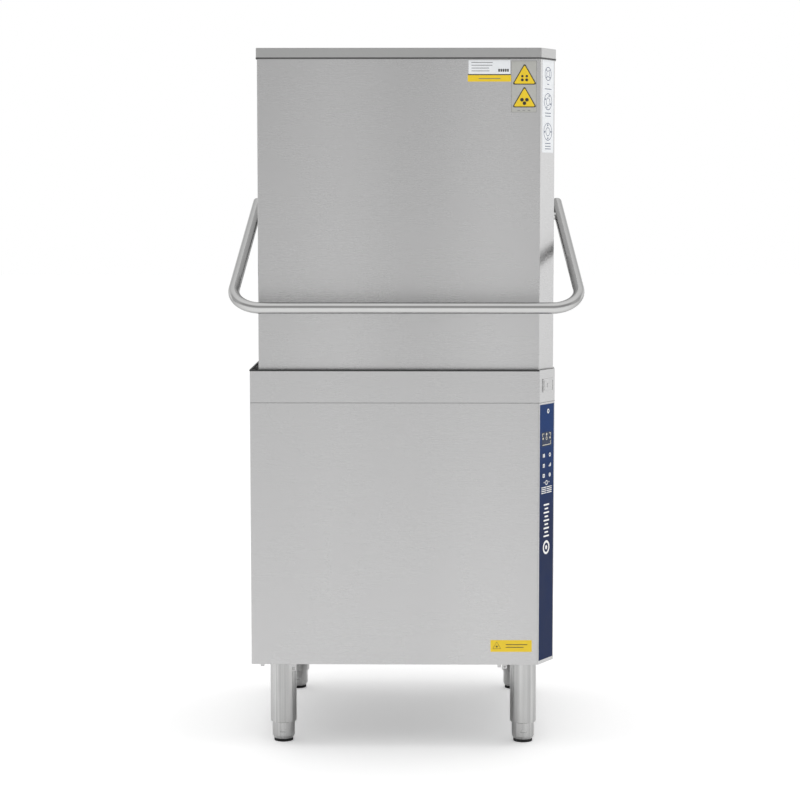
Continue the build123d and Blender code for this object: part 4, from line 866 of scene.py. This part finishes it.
def joint_shade_strips():
    """Dark strips of painted shade on the collar's rim, under the cap's lower edge and in the joint under
    the collar.
    """
    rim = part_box("deck_collar")[1].z
    collar_outer = footprint("deck_collar", "deck_collar", -0.8 * MM)
    collar_inner = footprint("deck_collar", "deck_collar", 2.3 * MM)
    # points of the belt along the left wall, round the front left corner and along the front
    per_corner = BELT_CORNER_STEPS + 1
    last = len(collar_outer) * per_corner - 1
    left_and_front = [last, *range(per_corner + 1)]
    # Painted shade: a dark strip on the collar's rim stands for the shadow in the gap below the hood.
    belt("rim_shade_strip", collar_outer, collar_inner, (rim - 2.2 * MM, rim + 0.9 * MM), RIM_SHADE,
         "cabinet", left_and_front)
    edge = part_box("hood_cap")[0].z
    cap_shade_outer = footprint("hood_shell", "hood_shell", -2.25 * MM)
    cap_shade_inner = footprint("hood_shell", "hood_shell", -0.05 * MM)
    # Painted shade: a dark strip under the cap's edge stands for the shadow line below its overhang.
    belt("cap_shade_strip", cap_shade_outer, cap_shade_inner, (edge - 1.2 * MM, edge + 2.2 * MM), JOINT_SHADE, "hood")
    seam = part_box("front_panel")[1].z
    collar_shade_outer = footprint("deck_collar", "deck_collar", -0.06 * MM)
    collar_shade_inner = footprint("deck_collar", "deck_collar", 1.4 * MM)
    # Painted shade: a dark strip in the seam under the collar stands for the shadow in that joint.
    belt("collar_shade_strip", collar_shade_outer, collar_shade_inner, (seam - 0.1 * MM, seam + 0.7 * MM), JOINT_SHADE,
         "cabinet")


# ================= springs =================
def coil_springs():
    """Two extension springs with hook ends, built at one length and riding on the cabinet."""
    low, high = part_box("balance_springs")
    radius = (high.y - low.y) / 2
    wire = 1.6 * MM
    coil_radius = radius - wire
    turns = 46
    steps_per_turn = 20
    wire_sides = 8
    hook = 18 * MM
    steps = turns * steps_per_turn
    coiled = high.z - low.z - 2 * hook
    middle_y = (low.y + high.y) / 2
    mesh = bmesh.new()
    for x in (low.x + radius, high.x - radius):
        centre_line = []
        for i in range(steps + 1):
            angle = 2 * math.pi * i / steps_per_turn
            z = low.z + hook + coiled * i / steps
            y = middle_y + coil_radius * math.sin(angle)
            centre_line.append(Vector((x + coil_radius * math.cos(angle), y, z)))
        for end, z in ((0, low.z + 2 * wire), (-1, high.z - 2 * wire)):
            start = centre_line[end]
            tip = [start.lerp(Vector((x, middle_y, z)), t) for t in (0.33, 0.66, 1.0)]
            centre_line = tip[::-1] + centre_line if end == 0 else centre_line + tip
        add_wire(mesh, centre_line, wire, wire_sides)
    piece = add_piece("spring_coils", mesh, BRIGHT, "cabinet", smooth=True)
    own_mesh(piece)
    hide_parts("balance_springs")


def add_wire(mesh, line, radius, sides):
    """Round wire along a line of points."""
    rings = []
    for i, point in enumerate(line):
        ahead = (line[min(i + 1, len(line) - 1)] - line[max(i - 1, 0)]).normalized()
        right = ahead.cross(UP).normalized() if abs(ahead.z) < 0.98 else Vector((1, 0, 0))
        over = right.cross(ahead).normalized()
        ring = []
        for k in range(sides):
            angle = 2 * math.pi * k / sides
            ring.append(mesh.verts.new(point + radius * (right * math.cos(angle) + over * math.sin(angle))))
        rings.append(ring)
    for first, second in zip(rings, rings[1:]):
        for k in range(sides):
            n = (k + 1) % sides
            mesh.faces.new((first[k], first[n], second[n], second[k]))
    mesh.faces.new(list(reversed(rings[0])))
    mesh.faces.new(rings[-1])


# ================= studio =================
def studio_floor():
    """Pale seamless floor that the camera sees as white away from the shadow."""
    size = 30.0
    data = bpy.data.meshes.new("studio_floor")
    data.from_pydata(
        [(-size, -size, 0), (size, -size, 0), (size, size, 0), (-size, size, 0)], [], [(0, 1, 2, 3)]
    )
    floor = bpy.data.objects.new("studio_floor", data)
    bpy.context.scene.collection.objects.link(floor)
    shader = Shader("floor_paper")
    cloud = shader.noise(shader.place, 1.5, 3.0, 0.5)
    seen = shader.node("ShaderNodeLightPath").outputs["Is Camera Ray"]
    grey = shader.remap(seen, 0.0, 1.0, FLOOR_REFLECTED, FLOOR_SEEN)
    paper = shader.math("MULTIPLY", grey, shader.remap(cloud, 0.3, 0.7, 0.99, 1.01))
    shader.set("Base Color", shader.join(paper, paper, paper))
    shader.set("Roughness", 0.9)
    shader.set("Specular IOR Level", 0.0)
    shader.set("Emission Color", (1.0, 1.0, 1.0))
    shader.set("Emission Strength", shader.math("MULTIPLY", seen, FLOOR_GLOW))
    data.materials.append(shader.material)


def studio_world():
    """White surroundings for the camera and a soft graded studio for everything else."""
    world = bpy.data.worlds.new("studio")
    bpy.context.scene.world = world
    world.use_nodes = True
    tree = world.node_tree
    tree.nodes.clear()

    def add(kind, **settings):
        made = tree.nodes.new(kind)
        for key, value in settings.items():
            setattr(made, key, value)
        return made

    def ramp(source, stops):
        made = add("ShaderNodeValToRGB")
        made.color_ramp.interpolation = "EASE"
        while len(made.color_ramp.elements) < len(stops):
            made.color_ramp.elements.new(0.5)
        for element, (place, value) in zip(made.color_ramp.elements, stops):
            element.position = place
            element.color = (value, value, value, 1)
        tree.links.new(source, made.inputs[0])
        return made.outputs[0]

    direction = add("ShaderNodeTexCoord").outputs["Generated"]
    parts = add("ShaderNodeSeparateXYZ")
    tree.links.new(direction, parts.inputs[0])

    def halved(source):
        made = add("ShaderNodeMapRange")
        for index, value in enumerate((-1.0, 1.0, 0.0, 1.0)):
            made.inputs[index + 1].default_value = value
        tree.links.new(source, made.inputs[0])
        return made.outputs[0]

    def blended(factor, first, second):
        made = add("ShaderNodeMix", data_type="RGBA")
        tree.links.new(factor, made.inputs[MIX_FACTOR])
        tree.links.new(first, made.inputs[MIX_FIRST])
        tree.links.new(second, made.inputs[MIX_SECOND])
        return made.outputs[MIX_RESULT]

    height = halved(parts.outputs[2])
    depth = halved(parts.outputs[1])
    lights = blended(ramp(depth, FRONT_TO_SIDE), ramp(height, FRONT_LIGHT), ramp(height, SIDE_LIGHT))
    lights = blended(ramp(depth, SIDE_TO_REAR), lights, ramp(height, REAR_LIGHT))
    lit = add("ShaderNodeBackground")
    lit.inputs["Strength"].default_value = WORLD_STRENGTH
    tree.links.new(lights, lit.inputs[0])
    white = add("ShaderNodeBackground")
    white.inputs[0].default_value = (1, 1, 1, 1)
    chosen = add("ShaderNodeMixShader")
    tree.links.new(add("ShaderNodeLightPath").outputs["Is Camera Ray"], chosen.inputs[0])
    tree.links.new(lit.outputs[0], chosen.inputs[1])
    tree.links.new(white.outputs[0], chosen.inputs[2])
    output = add("ShaderNodeOutputWorld")
    tree.links.new(chosen.outputs[0], output.inputs[0])


def soft_light(name, place, target, size, power):
    """Rectangular soft light that doesn't show in reflections."""
    data = bpy.data.lights.new(name, "AREA")
    data.shape = "RECTANGLE"
    data.size, data.size_y = size
    data.energy = power
    light = bpy.data.objects.new(name, data)
    bpy.context.scene.collection.objects.link(light)
    light.location = place
    light.rotation_euler = (Vector(target) - Vector(place)).to_track_quat("-Z", "Y").to_euler()
    light.visible_glossy = False


def studio_camera():
    """Camera at the eye point of the reference view, without any shift."""
    data = bpy.data.cameras.new("camera")
    data.lens = CAMERA_LENS
    data.sensor_width = CAMERA_SENSOR
    camera = bpy.data.objects.new("camera", data)
    camera.location = CAMERA_PLACE
    camera.rotation_euler = (math.pi / 2 - CAMERA_PITCH_DOWN, 0, CAMERA_TURN)
    bpy.context.scene.collection.objects.link(camera)
    bpy.context.scene.camera = camera
    bpy.context.scene.view_settings.view_transform = "Standard"


dress_cad_nodes()
hood_labels()
corner_label()
front_label()
control_graphics()
collar_mark()
joint_shade_strips()
coil_springs()
studio_floor()
studio_world()
soft_light("overhead_light", OVERHEAD_PLACE, OVERHEAD_TARGET, OVERHEAD_SIZE, OVERHEAD_POWER)
studio_camera()
